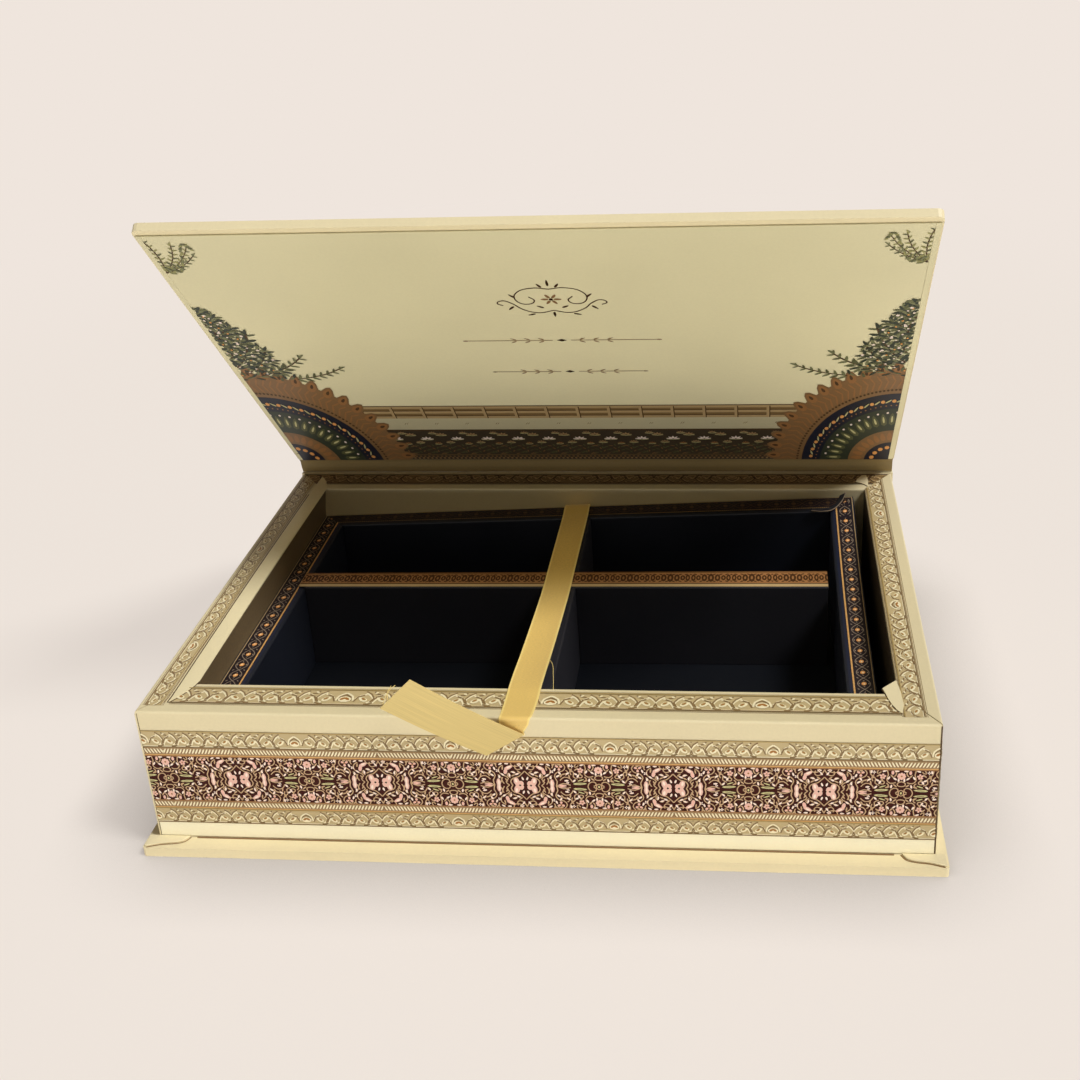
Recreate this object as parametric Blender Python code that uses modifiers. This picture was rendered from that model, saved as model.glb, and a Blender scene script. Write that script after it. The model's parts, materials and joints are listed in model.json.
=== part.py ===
"""Wedding invitation box: a paper-covered hinged case with a hollow-walled tray, a four-well insert and a ribbon.

Units are metres and +Z is up. The origin is under the middle of the box's outline, on the surface it stands on.
Inside this file Y runs from the front face of the tray (0) to the back, and every piece is moved to the
origin at the end.
"""
import math

import bmesh
import bpy
from mathutils import Matrix, Vector

# Clearances and sheet thicknesses
GAP = 0.0003
OVERRUN = 0.002
PAPER_T = 0.0005
LINER_T = 0.0004
RIBBON_T = 0.0003
TAB_T = 0.0003

# Tray with hollow walls
TRAY_W = 0.305
TRAY_D = 0.2205
WALL_H = 0.0587
WALL_BOARD_T = 0.002
RIM_LEFT_W = 0.0155
RIM_RIGHT_W = 0.0145
RIM_FRONT_W = 0.020
RIM_BACK_W = 0.0195
RIM_ROUND = 0.0008
TRAY_FLOOR_T = 0.002

# Case: base, spine and lid boards with their paper
BASE_BOARD_T = 0.0024
LIP_SIDE = 0.0045
LIP_FRONT = 0.0075
TURN_IN_W = 0.015
CASE_ROUND = 0.0012
SPINE_BOARD_T = 0.0019
SPINE_DROP = 0.0002
LID_BOARD_T = 0.0021
LID_ROUND = 0.0025
LID_OVER_SIDE = 0.001
LID_OVER_FRONT = 0.0025
LID_BACK_STEP = 0.0045
LID_CLEAR = 0.001
LINER_INSET = 0.003
STRIP_T = 0.0004
LID_OPEN = math.radians(47.7)

# Insert with four wells
INSERT_LEFT_CLEAR = 0.0004
INSERT_RIGHT_CLEAR = 0.0054
INSERT_FRONT_CLEAR = 0.0005
INSERT_BACK_CLEAR = 0.0005
LEDGE_DROP = 0.015
LEDGE_W = 0.012
INSERT_BOARD_T = 0.0012
INSERT_ROUND = 0.0006
INSERT_FLOOR_T = 0.0015
INSERT_LIFT = 0.0115
LIFT_CURVE = 3
LIFT_SLICES = 10
FLOOR_CELLS = 10
DIVIDER_W = 0.0140
DIVIDER_RISE = 0.0009
LONG_DIVIDER_Y = 0.130
LONG_DIVIDER_SHORT = 0.0036
LONG_DIVIDER_TAB = 0.0028
CROSS_DIVIDER_X = -0.0044
LAP_GAP = 0.0006

# Ribbon: centre line places across the box, from the back to the front edge
RIBBON_W = 0.0127
RIBBON_BACK_X = -0.0049
RIBBON_MID_X = -0.0058
RIBBON_RIM_X = -0.0039
RIBBON_EDGE_X = -0.0038
RIBBON_FOLD_R = 0.00045
RIBBON_REST = 0.0006
FOLD_RIGHT_X = -0.0019
FOLD_RIGHT_DROP = 0.0063
FOLD_LEFT_X = -0.0169
FOLD_LEFT_DROP = 0.0160
TAIL_TOP_X = -0.0410
TAIL_TOP_RISE = 0.0208
TAIL_LOW_X = -0.0537
TAIL_LOW_RISE = 0.0078
TAIL_LEAN_SHARE = 0.13
FOLD_STEPS = 4
ROUND_STEPS = 3

# Corner tabs as shares of the two rim widths that meet there, measured from the outer corner
TAB_SHARES = {
    "front_left": ((0.78, 0.30), (1.0, 0.42), (1.0, 1.0), (0.82, 1.0), (0.70, 0.72), (0.62, 0.46)),
    "front_right": ((0.96, 0.38), (1.38, 1.12), (1.02, 1.46), (0.93, 0.92)),
    "back_left": ((0.88, 0.66), (1.10, 1.04), (0.98, 1.16), (0.84, 0.92)),
    "back_right": ((0.82, 0.60), (1.22, 1.08), (1.0, 1.22), (0.78, 0.90)),
}

# Sizes that follow from the ones above
CASE_WRAP = 2 * (PAPER_T + GAP)
BASE_T = BASE_BOARD_T + CASE_WRAP
SPINE_T = SPINE_BOARD_T + CASE_WRAP
LID_T = LID_BOARD_T + CASE_WRAP
FLOOR_Z = BASE_T + GAP
RIM_Z = FLOOR_Z + WALL_H
SPINE_Y = TRAY_D + GAP
BACK_Y = SPINE_Y + SPINE_T
SPINE_TOP = RIM_Z - SPINE_DROP
IN_LEFT = -TRAY_W / 2 + RIM_LEFT_W
IN_RIGHT = TRAY_W / 2 - RIM_RIGHT_W
IN_FRONT = RIM_FRONT_W
IN_BACK = TRAY_D - RIM_BACK_W
WELL_LEFT = IN_LEFT + INSERT_LEFT_CLEAR
WELL_RIGHT = IN_RIGHT - INSERT_RIGHT_CLEAR
WELL_FRONT = IN_FRONT + INSERT_FRONT_CLEAR
WELL_BACK = IN_BACK - INSERT_BACK_CLEAR
LEDGE_Z = RIM_Z - LEDGE_DROP
INSERT_Z = FLOOR_Z + TRAY_FLOOR_T + GAP
DIVIDER_Z = INSERT_Z + INSERT_FLOOR_T + GAP
DIVIDER_TOP = LEDGE_Z + DIVIDER_RISE
DIVIDER_MID = (DIVIDER_Z + DIVIDER_TOP) / 2
AXIS = Vector((0, BACK_Y, SPINE_TOP))


def srgb(red, green, blue):
    """A colour given as eight-bit display values, as the linear values that a material takes."""
    shares = [value / 255 for value in (red, green, blue)]
    linear = [s / 12.92 if s <= 0.04045 else ((s + 0.055) / 1.055) ** 2.4 for s in shares]
    return (*linear, 1.0)


CREAM = srgb(231, 216, 178)
GOLD = srgb(205, 174, 100)
BOARD = srgb(150, 132, 104)
MAROON = srgb(132, 101, 78)
DARK = srgb(24, 27, 34)
TAN = srgb(129, 97, 68)


def clear_scene():
    for obj in list(bpy.data.objects):
        bpy.data.objects.remove(obj, do_unlink=True)


def new_collection(name):
    collection = bpy.data.collections.new(name)
    bpy.context.scene.collection.children.link(collection)
    return collection


def finish(obj, colour, roughness):
    """Give a piece its own Principled material."""
    material = bpy.data.materials.new(obj.name)
    material.use_nodes = True
    shader = material.node_tree.nodes["Principled BSDF"]
    shader.inputs["Base Color"].default_value = colour
    shader.inputs["Roughness"].default_value = roughness
    shader.inputs["Metallic"].default_value = 0.0
    material.diffuse_color = colour
    obj.data.materials.clear()
    obj.data.materials.append(material)
    return obj


def add_mesh(name, bm, collection):
    bmesh.ops.recalc_face_normals(bm, faces=bm.faces)
    mesh = bpy.data.meshes.new(name)
    bm.to_mesh(mesh)
    bm.free()
    obj = bpy.data.objects.new(name, mesh)
    collection.objects.link(obj)
    return obj


def box(name, low, high, collection, corner_round=0.0):
    """A block between two corners, with its upright edges rounded if asked."""
    low, high = Vector(low), Vector(high)
    size = high - low
    bm = bmesh.new()
    bmesh.ops.create_cube(bm, size=1.0, matrix=Matrix.Translation((low + high) / 2) @ Matrix.Diagonal((*size, 1)))
    if corner_round:
        upright = [e for e in bm.edges if abs(e.verts[0].co.z - e.verts[1].co.z) > size.z / 2]
        bmesh.ops.bevel(bm, geom=upright, offset=corner_round, segments=ROUND_STEPS, affect="EDGES", profile=0.5)
    return add_mesh(name, bm, collection)


def cut(obj, cutter, operation="DIFFERENCE"):
    modifier = obj.modifiers.new(cutter.name, "BOOLEAN")
    modifier.operation = operation
    modifier.solver = "EXACT"
    modifier.object = cutter
    cutter.hide_render = True
    cutter.display_type = "WIRE"


def bake(obj):
    """Turn a piece's modifiers into its own mesh, so that it can be bent as a whole."""
    graph = bpy.context.evaluated_depsgraph_get()
    graph.update()
    mesh = bpy.data.meshes.new_from_object(obj.evaluated_get(graph))
    obj.modifiers.clear()
    obj.data = mesh


def wrapped_case(name, low, high, window, corner_round=0.0):
    """Paper round a board: the outer skin of a block, turned in over one face, where it leaves a window.

    window is the axis and the end of it where the board shows: (2, 1) is the top, (1, 0) is the front.
    """
    low, high = Vector(low), Vector(high)
    skin = Vector((PAPER_T,) * 3)
    shell = box(name, low, high, parts, corner_round)
    cut(shell, box(name + "_hollow", low + skin, high - skin, cutters, max(corner_round - PAPER_T, 0)))
    opening = [low + Vector((TURN_IN_W,) * 3), high - Vector((TURN_IN_W,) * 3)]
    axis, end = window
    middle = (low[axis] + high[axis]) / 2
    opening[0][axis] = middle if end else low[axis] - OVERRUN
    opening[1][axis] = high[axis] + OVERRUN if end else middle
    cut(shell, box(name + "_window", *opening, cutters))
    return shell


def board_in(name, low, high, corner_round=0.0):
    """The board inside a wrapped case."""
    inset = Vector((PAPER_T + GAP,) * 3)
    return box(name, Vector(low) + inset, Vector(high) - inset, parts, max(corner_round - inset.x, 0))


def arc(centre, radius, start, end):
    """Points of a quarter turn, from one angle to another in degrees."""
    turns = [math.radians(start + (end - start) * i / ROUND_STEPS) for i in range(ROUND_STEPS + 1)]
    return [(centre[0] + radius * math.cos(a), centre[1] + radius * math.sin(a)) for a in turns]


def channel_profile(width, bottom, top, board, radius):
    """Section of a hollow wall: an upside-down U, as (inward, z), with its two upper edges rounded."""
    outer = arc((radius, top - radius), radius, 180, 90)
    inner = arc((width - radius, top - radius), radius, 90, 0)
    inside = [(width - board, bottom), (width - board, top - board), (board, top - board), (board, bottom)]
    return [(0, bottom), *outer, *inner, (width, bottom), *inside]


def channel(name, profile, place, start, end):
    """A hollow wall: the profile is made a face and drawn along the wall between two mitred ends.

    place(along, inward, z) gives a point of the box, and start and end give where the wall begins and ends
    at each distance inward.
    """
    bm = bmesh.new()
    corners = [bm.verts.new(place(start(u), u, z)) for u, z in profile]
    face = bm.faces.new(corners)
    drawn = bmesh.ops.extrude_face_region(bm, geom=[face])["geom"]
    far = [v for v in drawn if isinstance(v, bmesh.types.BMVert)]
    inward = {corner.co.copy().freeze(): point for corner, point in zip(corners, profile)}
    for vert in far:
        u, z = inward[vert.co.copy().freeze()]
        vert.co = place(end(u), u, z)
    return add_mesh(name, bm, parts)


def frame_of_channels(prefix, edges, widths, bottom, top, board, radius):
    """Four hollow walls with mitred corners round a rectangle: left, right, front and back outer edges."""
    left, right, front, back = edges
    w_left, w_right, w_front, w_back = widths
    walls = {}
    walls["front"] = channel(
        prefix + "_front", channel_profile(w_front, bottom, top, board, radius),
        lambda a, u, z: (a, front + u, z),
        lambda u: left + GAP + u * w_left / w_front, lambda u: right - GAP - u * w_right / w_front)
    walls["back"] = channel(
        prefix + "_back", channel_profile(w_back, bottom, top, board, radius),
        lambda a, u, z: (a, back - u, z),
        lambda u: left + GAP + u * w_left / w_back, lambda u: right - GAP - u * w_right / w_back)
    walls["left"] = channel(
        prefix + "_left", channel_profile(w_left, bottom, top, board, radius),
        lambda a, u, z: (left + u, a, z),
        lambda u: front + GAP + u * w_front / w_left, lambda u: back - GAP - u * w_back / w_left)
    walls["right"] = channel(
        prefix + "_right", channel_profile(w_right, bottom, top, board, radius),
        lambda a, u, z: (right - u, a, z),
        lambda u: front + GAP + u * w_front / w_right, lambda u: back - GAP - u * w_back / w_right)
    return walls


def make_base():
    low = (-TRAY_W / 2 - LIP_SIDE, -LIP_FRONT, 0)
    high = (TRAY_W / 2 + LIP_SIDE, TRAY_D, BASE_T)
    finish(wrapped_case("base_wrap", low, high, (2, 1), CASE_ROUND), CREAM, 0.55)
    finish(board_in("base_board", low, high, CASE_ROUND), BOARD, 0.9)


def make_spine():
    low = (-TRAY_W / 2 - LID_OVER_SIDE, SPINE_Y, 0)
    high = (TRAY_W / 2 + LID_OVER_SIDE, BACK_Y, SPINE_TOP)
    finish(wrapped_case("spine_wrap", low, high, (1, 0)), CREAM, 0.55)
    finish(board_in("spine_board", low, high), BOARD, 0.9)


def make_tray():
    edges = (-TRAY_W / 2, TRAY_W / 2, 0, TRAY_D)
    widths = (RIM_LEFT_W, RIM_RIGHT_W, RIM_FRONT_W, RIM_BACK_W)
    walls = frame_of_channels("tray_wall", edges, widths, FLOOR_Z, RIM_Z, WALL_BOARD_T, RIM_ROUND)
    for side, wall in walls.items():
        finish(wall, MAROON if side == "front" else CREAM, 0.5)
    low = (IN_LEFT + GAP, IN_FRONT + GAP, FLOOR_Z)
    high = (IN_RIGHT - GAP, IN_BACK - GAP, FLOOR_Z + TRAY_FLOOR_T)
    finish(box("tray_floor", low, high, parts), DARK, 0.7)


def make_corner_tabs():
    """Paper tabs that cover the mitred joints, each a flat outline on the rim."""
    rims = {"left": (-TRAY_W / 2, RIM_LEFT_W), "right": (TRAY_W / 2, -RIM_RIGHT_W)}
    ends = {"front": (0, RIM_FRONT_W), "back": (TRAY_D, -RIM_BACK_W)}
    for corner, shares in TAB_SHARES.items():
        end, side = corner.split("_")
        (x0, width), (y0, depth) = rims[side], ends[end]
        bm = bmesh.new()
        outline = [bm.verts.new((x0 + sx * width, y0 + sy * depth, RIM_Z + GAP)) for sx, sy in shares]
        face = bm.faces.new(outline)
        drawn = bmesh.ops.extrude_face_region(bm, geom=[face])["geom"]
        raised = [v for v in drawn if isinstance(v, bmesh.types.BMVert)]
        bmesh.ops.translate(bm, verts=raised, vec=(0, 0, TAB_T))
        finish(add_mesh("corner_tab_" + corner, bm, parts), CREAM, 0.6)


def lift(x, y):
    """How far the insert stands up at a place, because its back right corner isn't pushed home."""
    across = (x - WELL_LEFT) / (WELL_RIGHT - WELL_LEFT)
    along = (y - WELL_FRONT) / (WELL_BACK - WELL_FRONT)
    return INSERT_LIFT * across * along ** LIFT_CURVE


def lift_piece(obj):
    """Lift a piece with the insert's corner. It is cut into slices first, so that it bends with the others."""
    bake(obj)
    bm = bmesh.new()
    bm.from_mesh(obj.data)
    for i in range(1, LIFT_SLICES):
        at = Vector((0, WELL_FRONT + (WELL_BACK - WELL_FRONT) * i / LIFT_SLICES, 0))
        bmesh.ops.bisect_plane(bm, geom=bm.verts[:] + bm.edges[:] + bm.faces[:], plane_co=at, plane_no=(0, 1, 0))
    for vert in bm.verts:
        vert.co.z += lift(vert.co.x, vert.co.y)
    bm.to_mesh(obj.data)
    bm.free()


def make_insert_frame():
    edges = (WELL_LEFT, WELL_RIGHT, WELL_FRONT, WELL_BACK)
    walls = frame_of_channels(
        "insert_wall", edges, (LEDGE_W,) * 4, INSERT_Z, LEDGE_Z, INSERT_BOARD_T, INSERT_ROUND)
    for wall in walls.values():
        lift_piece(finish(wall, DARK, 0.45))


def make_insert_floor():
    """A thin board between the insert's inner walls, cut into cells so that it follows the lifted corner."""
    x0, x1 = WELL_LEFT + LEDGE_W + GAP, WELL_RIGHT - LEDGE_W - GAP
    y0, y1 = WELL_FRONT + LEDGE_W + GAP, WELL_BACK - LEDGE_W - GAP
    floor = box("insert_floor", (x0, y0, INSERT_Z), (x1, y1, INSERT_Z + INSERT_FLOOR_T), parts)
    bm = bmesh.new()
    bm.from_mesh(floor.data)
    for i in range(1, FLOOR_CELLS):
        at = Vector((x0 + (x1 - x0) * i / FLOOR_CELLS, y0, INSERT_Z))
        bmesh.ops.bisect_plane(bm, geom=bm.verts[:] + bm.edges[:] + bm.faces[:], plane_co=at, plane_no=(1, 0, 0))
    bm.to_mesh(floor.data)
    bm.free()
    lift_piece(finish(floor, DARK, 0.7))


def make_dividers():
    """Two hollow dividers, half lapped where they cross, with the long one's top run on over the left ledge."""
    profile = channel_profile(DIVIDER_W, DIVIDER_Z, DIVIDER_TOP, INSERT_BOARD_T, INSERT_ROUND)
    long_y = LONG_DIVIDER_Y - DIVIDER_W / 2
    cross_x = CROSS_DIVIDER_X - DIVIDER_W / 2
    left, right = WELL_LEFT + LEDGE_W + GAP, WELL_RIGHT - LEDGE_W - LONG_DIVIDER_SHORT
    front, back = WELL_FRONT + LEDGE_W + GAP, WELL_BACK - LEDGE_W - GAP
    long_one = channel(
        "divider_long", profile, lambda a, u, z: (a, long_y + u, z), lambda u: left, lambda u: right)
    cross = channel(
        "divider_cross", profile, lambda a, u, z: (cross_x + u, a, z), lambda u: front, lambda u: back)
    tab = box(
        "divider_tab", (left - GAP - LONG_DIVIDER_TAB, long_y + INSERT_ROUND, LEDGE_Z + GAP),
        (left + OVERRUN, long_y + DIVIDER_W - INSERT_ROUND, DIVIDER_TOP), cutters)
    cut(long_one, tab, "UNION")
    from_below = box(
        "lap_from_below", (cross_x - GAP, long_y - OVERRUN, DIVIDER_Z - OVERRUN),
        (cross_x + DIVIDER_W + GAP, long_y + DIVIDER_W + OVERRUN, DIVIDER_MID + LAP_GAP / 2), cutters)
    cut(long_one, from_below)
    from_above = box(
        "lap_from_above", (cross_x - OVERRUN, long_y - GAP, DIVIDER_MID - LAP_GAP / 2),
        (cross_x + DIVIDER_W + OVERRUN, long_y + DIVIDER_W + GAP, DIVIDER_TOP + OVERRUN), cutters)
    cut(cross, from_above)
    lift_piece(finish(long_one, TAN, 0.5))
    lift_piece(finish(cross, TAN, 0.5))


def ribbon_edges():
    """Left and right edge points of the ribbon, from the back ledge, over the rim, to the end of its tail."""
    half = RIBBON_W / 2
    over = GAP + RIBBON_T / 2

    def across(x, y, z):
        return Vector((x - half, y, z)), Vector((x + half, y, z))

    def rests(x, y):
        pair = across(x, y, DIVIDER_TOP + RIBBON_REST)
        return tuple(p + Vector((0, 0, lift(p.x, p.y))) for p in pair)

    edges = [
        rests(RIBBON_BACK_X, WELL_BACK),
        rests(RIBBON_BACK_X, WELL_BACK - LEDGE_W),
        rests(RIBBON_MID_X, LONG_DIVIDER_Y + DIVIDER_W / 2),
        rests(RIBBON_MID_X, LONG_DIVIDER_Y - DIVIDER_W / 2),
        across(RIBBON_RIM_X, IN_FRONT, RIM_Z + over),
        across(RIBBON_EDGE_X, RIM_ROUND, RIM_Z + over),
        across(RIBBON_EDGE_X, RIM_ROUND - (RIM_ROUND + over) * math.sin(math.pi / 4),
               RIM_Z - RIM_ROUND + (RIM_ROUND + over) * math.cos(math.pi / 4)),
        across(RIBBON_EDGE_X, -over, RIM_Z - RIM_ROUND),
    ]
    fold_left = Vector((FOLD_LEFT_X, -over, RIM_Z - FOLD_LEFT_DROP))
    fold_right = Vector((FOLD_RIGHT_X, -over, RIM_Z - FOLD_RIGHT_DROP))
    along = (fold_right - fold_left).normalized()
    away = Vector((along.z, 0, -along.x))
    for i in range(FOLD_STEPS + 1):
        turn = math.pi * i / FOLD_STEPS
        step = away * RIBBON_FOLD_R * math.sin(turn) + Vector((0, RIBBON_FOLD_R, 0)) * (math.cos(turn) - 1)
        edges.append((fold_left + step, fold_right + step))

    def tail_end(x, rise, root):
        reach = Vector((x, root.y, RIM_Z + rise)) - root
        return root + reach + Vector((0, TAIL_LEAN_SHARE * reach.dot(away), 0))

    low_root, top_root = edges[-1]
    edges.append((tail_end(TAIL_LOW_X, TAIL_LOW_RISE, low_root), tail_end(TAIL_TOP_X, TAIL_TOP_RISE, top_root)))
    return edges


def make_ribbon():
    """A thin strip drawn through pairs of edge points, with its diagonal fold and its free tail."""
    bm = bmesh.new()
    rows = [(bm.verts.new(left), bm.verts.new(right)) for left, right in ribbon_edges()]
    for (a, b), (c, d) in zip(rows, rows[1:]):
        bm.faces.new((a, b, d, c))
    ribbon = add_mesh("lift_ribbon", bm, parts)
    thickness = ribbon.modifiers.new("thickness", "SOLIDIFY")
    thickness.thickness = RIBBON_T
    thickness.offset = 0
    finish(ribbon, GOLD, 0.35)


def make_lid():
    """Lid pieces, drawn closed about the hinge axis, under an empty that holds them open."""
    axis = bpy.data.objects.new("lid_axis", None)
    axis.location = AXIS
    axis.rotation_euler = (-LID_OPEN, 0, 0)
    parts.objects.link(axis)
    low = Vector((-TRAY_W / 2 - LID_OVER_SIDE, -LID_OVER_FRONT, RIM_Z + LID_CLEAR + LINER_T + GAP)) - AXIS
    high = Vector((TRAY_W / 2 + LID_OVER_SIDE, TRAY_D - LID_BACK_STEP, low.z + AXIS.z + LID_T)) - AXIS
    pieces = [
        finish(wrapped_case("lid_wrap", low, high, (2, 0), LID_ROUND), CREAM, 0.55),
        finish(board_in("lid_board", low, high, LID_ROUND), BOARD, 0.9),
    ]
    inset = Vector((LINER_INSET, LINER_INSET, 0))
    liner_low = Vector((low.x, low.y, low.z - GAP - LINER_T)) + inset
    liner_high = Vector((high.x, high.y, low.z - GAP)) - inset
    pieces.append(finish(box("lid_liner", liner_low, liner_high, parts), CREAM, 0.4))
    pieces.append(finish(make_hinge_strip(low, high), CREAM, 0.6))
    for piece in pieces:
        piece.parent = axis
        for modifier in piece.modifiers:
            modifier.object.parent = axis


def make_hinge_strip(low, high):
    """The paper joint: a strip from the spine's top edge up to the lid's back edge."""
    near = Vector((0, -GAP - STRIP_T / 2, GAP + STRIP_T / 2))
    far = Vector((0, high.y + GAP + STRIP_T / 2, high.z - LID_ROUND / 2))
    run = (far - near).normalized()
    side = Vector((0, -run.z, run.y)) * STRIP_T / 2
    section = [near - side, near + side, far + side, far - side]
    bm = bmesh.new()
    face = bm.faces.new([bm.verts.new((low.x, p.y, p.z)) for p in section])
    drawn = bmesh.ops.extrude_face_region(bm, geom=[face])["geom"]
    bmesh.ops.translate(bm, verts=[v for v in drawn if isinstance(v, bmesh.types.BMVert)],
                        vec=(high.x - low.x, 0, 0))
    return add_mesh("hinge_strip", bm, parts)


def centre_box():
    """Move everything, from the tray's front face at zero, to the middle of the box's depth."""
    graph = bpy.context.evaluated_depsgraph_get()
    graph.update()
    depths = []
    for obj in parts.objects:
        if obj.type == "MESH":
            posed = obj.evaluated_get(graph)
            depths += [(posed.matrix_world @ Vector(corner)).y for corner in posed.bound_box]
    middle = (min(depths) + max(depths)) / 2
    for obj in bpy.data.objects:
        if obj.parent is None:
            obj.location.y -= middle


clear_scene()
parts = new_collection("wedding_invitation_box")
cutters = new_collection("cutters")
make_base()
make_spine()
make_tray()
make_corner_tabs()
make_insert_frame()
make_insert_floor()
make_dividers()
make_ribbon()
make_lid()
centre_box()
print("hinge axis:", [round(v, 6) for v in bpy.data.objects["lid_axis"].location])
print("pieces:", len([obj for obj in parts.objects if obj.type == "MESH"]))
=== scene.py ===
# %% [markdown]
# A wedding invitation box, dressed for a picture.
# The frame holds the boards, the walls and the hinge at their real sizes. This script gives them printed
# paper, a lined lid, a folding spine joint and a satin ribbon, and then lights them on a pale table.

# %% Load the frame
import json
import math

import bmesh
import bpy
from mathutils import Matrix, Vector


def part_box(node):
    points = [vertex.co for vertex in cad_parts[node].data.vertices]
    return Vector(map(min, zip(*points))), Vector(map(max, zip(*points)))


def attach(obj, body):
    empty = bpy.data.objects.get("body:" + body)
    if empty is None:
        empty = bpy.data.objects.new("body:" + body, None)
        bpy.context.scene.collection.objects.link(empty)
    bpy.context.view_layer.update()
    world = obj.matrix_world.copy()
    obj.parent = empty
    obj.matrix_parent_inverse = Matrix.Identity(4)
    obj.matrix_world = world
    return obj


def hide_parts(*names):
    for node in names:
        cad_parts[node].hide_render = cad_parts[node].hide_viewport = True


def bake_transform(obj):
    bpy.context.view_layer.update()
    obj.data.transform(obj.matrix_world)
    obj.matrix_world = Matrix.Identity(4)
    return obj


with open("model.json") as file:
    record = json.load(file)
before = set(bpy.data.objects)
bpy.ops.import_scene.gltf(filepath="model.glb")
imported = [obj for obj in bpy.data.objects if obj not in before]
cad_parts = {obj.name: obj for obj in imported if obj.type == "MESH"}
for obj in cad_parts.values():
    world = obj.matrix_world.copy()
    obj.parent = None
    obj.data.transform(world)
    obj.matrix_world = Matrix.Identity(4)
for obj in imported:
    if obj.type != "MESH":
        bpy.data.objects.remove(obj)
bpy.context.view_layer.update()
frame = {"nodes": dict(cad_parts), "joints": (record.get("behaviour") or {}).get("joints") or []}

# %% [markdown]
# Places on the box come from the frame, so nothing is typed twice. Small sizes are written in millimetres
# and multiplied by MM, because print and paper are measured that way.

# %% Places on the box
MM = 0.001
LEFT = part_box("tray_wall_left")[0].x
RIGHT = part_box("tray_wall_right")[1].x
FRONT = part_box("tray_wall_front")[0].y
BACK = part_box("tray_wall_back")[1].y
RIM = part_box("tray_wall_front")[1].z
IN_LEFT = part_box("tray_wall_left")[1].x
IN_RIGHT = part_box("tray_wall_right")[0].x
IN_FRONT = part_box("tray_wall_front")[1].y
IN_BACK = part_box("tray_wall_back")[0].y
WALL_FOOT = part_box("tray_wall_front")[0].z
HINGE = Vector(frame["joints"][0]["pos_m"])
OPEN = -math.radians(frame["joints"][0]["range_deg"][0])
print("rim at", round(RIM / MM, 1), "mm, hinge at", [round(v / MM, 1) for v in HINGE])

# %% [markdown]
# The lid is easiest to draw closed, flat above the rim. One matrix then turns whatever is drawn there about
# the hinge, to the angle at which the lid stands in the photograph.

# %% The lid's turn
TO_LID = Matrix.Translation(HINGE) @ Matrix.Rotation(-OPEN, 4, "X") @ Matrix.Translation(-HINGE)


def closed_box(name):
    """The lowest and the highest corner of a piece of the lid, with the lid closed."""
    points = [TO_LID.inverted() @ v.co for v in frame["nodes"][name].data.vertices]
    return [Vector([pick(p[i] for p in points) for i in range(3)]) for pick in (min, max)]


LID_LOW, LID_HIGH = closed_box("lid_wrap")
LINER_LOW, LINER_HIGH = closed_box("lid_liner")
print("lid", [round(v / MM, 1) for v in LID_HIGH - LID_LOW], "open", round(math.degrees(OPEN), 1), "degrees")

# %% [markdown]
# Colours are written as they look on a screen, and turned into the linear values that a shader takes.

# %% Colours
def srgb(red, green, blue):
    shares = [value / 255 for value in (red, green, blue)]
    linear = [s / 12.92 if s <= 0.04045 else ((s + 0.055) / 1.055) ** 2.4 for s in shares]
    return (*linear, 1.0)


PALE_TABLE = srgb(239, 229, 221)

# %% [markdown]
# A material is a small tree of nodes. Two helpers keep the trees short enough to read: one makes a node with
# its values, and one joins sockets in pairs.

# %% Building materials
def node(tree, kind, values=(), **settings):
    """A new shader node with its settings, and with plain values on some of its input sockets."""
    made = tree.nodes.new("ShaderNode" + kind)
    for setting, value in settings.items():
        setattr(made, setting, value)
    for socket, value in dict(values).items():
        made.inputs[socket].default_value = value
    return made


def link(tree, *pairs):
    for source, target in pairs:
        tree.links.new(source, target)


def new_material(name):
    """A new material, its node tree and its shader."""
    material = bpy.data.materials.new(name)
    material.use_nodes = True
    return material, material.node_tree, material.node_tree.nodes["Principled BSDF"]


# %% [markdown]
# Every paper here has the same two faults that make paper look real: a faint mottle in its colour, and a
# fine unevenness that breaks up the shine. One node group makes both, and each paper sets how strong its
# mottle is.

# %% Paper grain group
GRAIN_SOCKETS = (("Colour", "INPUT", "Color"), ("Mottle", "INPUT", "Float"),
                 ("Fibre Scale", "INPUT", "Float"), ("Colour", "OUTPUT", "Color"),
                 ("Height", "OUTPUT", "Float"), ("Roughness", "OUTPUT", "Float"))


def make_paper_grain():
    group = bpy.data.node_groups.new("paper_grain", "ShaderNodeTree")
    for name, way, kind in GRAIN_SOCKETS:
        group.interface.new_socket(name, in_out=way, socket_type="NodeSocket" + kind)
    start, end = group.nodes.new("NodeGroupInput"), group.nodes.new("NodeGroupOutput")
    place = node(group, "TexCoord").outputs["Object"]
    cloud = node(group, "TexNoise", {"Scale": 22, "Detail": 4})
    fibre = node(group, "TexNoise", {"Detail": 3, "Roughness": 0.6})
    both = node(group, "Math", operation="ADD")
    centred = node(group, "Math", {1: 1.0}, operation="SUBTRACT")
    shift = node(group, "Math", {2: 1.0}, operation="MULTIPLY_ADD")
    tint = node(group, "VectorMath", operation="SCALE")
    shine = node(group, "MapRange", {"To Min": 0.36, "To Max": 0.58})
    link(group, (place, cloud.inputs["Vector"]), (place, fibre.inputs["Vector"]),
         (start.outputs["Fibre Scale"], fibre.inputs["Scale"]), (cloud.outputs["Fac"], both.inputs[0]),
         (fibre.outputs["Fac"], both.inputs[1]), (both.outputs[0], centred.inputs[0]),
         (centred.outputs[0], shift.inputs[0]), (start.outputs["Mottle"], shift.inputs[1]),
         (start.outputs["Colour"], tint.inputs[0]), (shift.outputs[0], tint.inputs["Scale"]),
         (cloud.outputs["Fac"], shine.inputs["Value"]), (tint.outputs[0], end.inputs["Colour"]),
         (fibre.outputs["Fac"], end.inputs["Height"]), (shine.outputs["Result"], end.inputs["Roughness"]))
    return group


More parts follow.
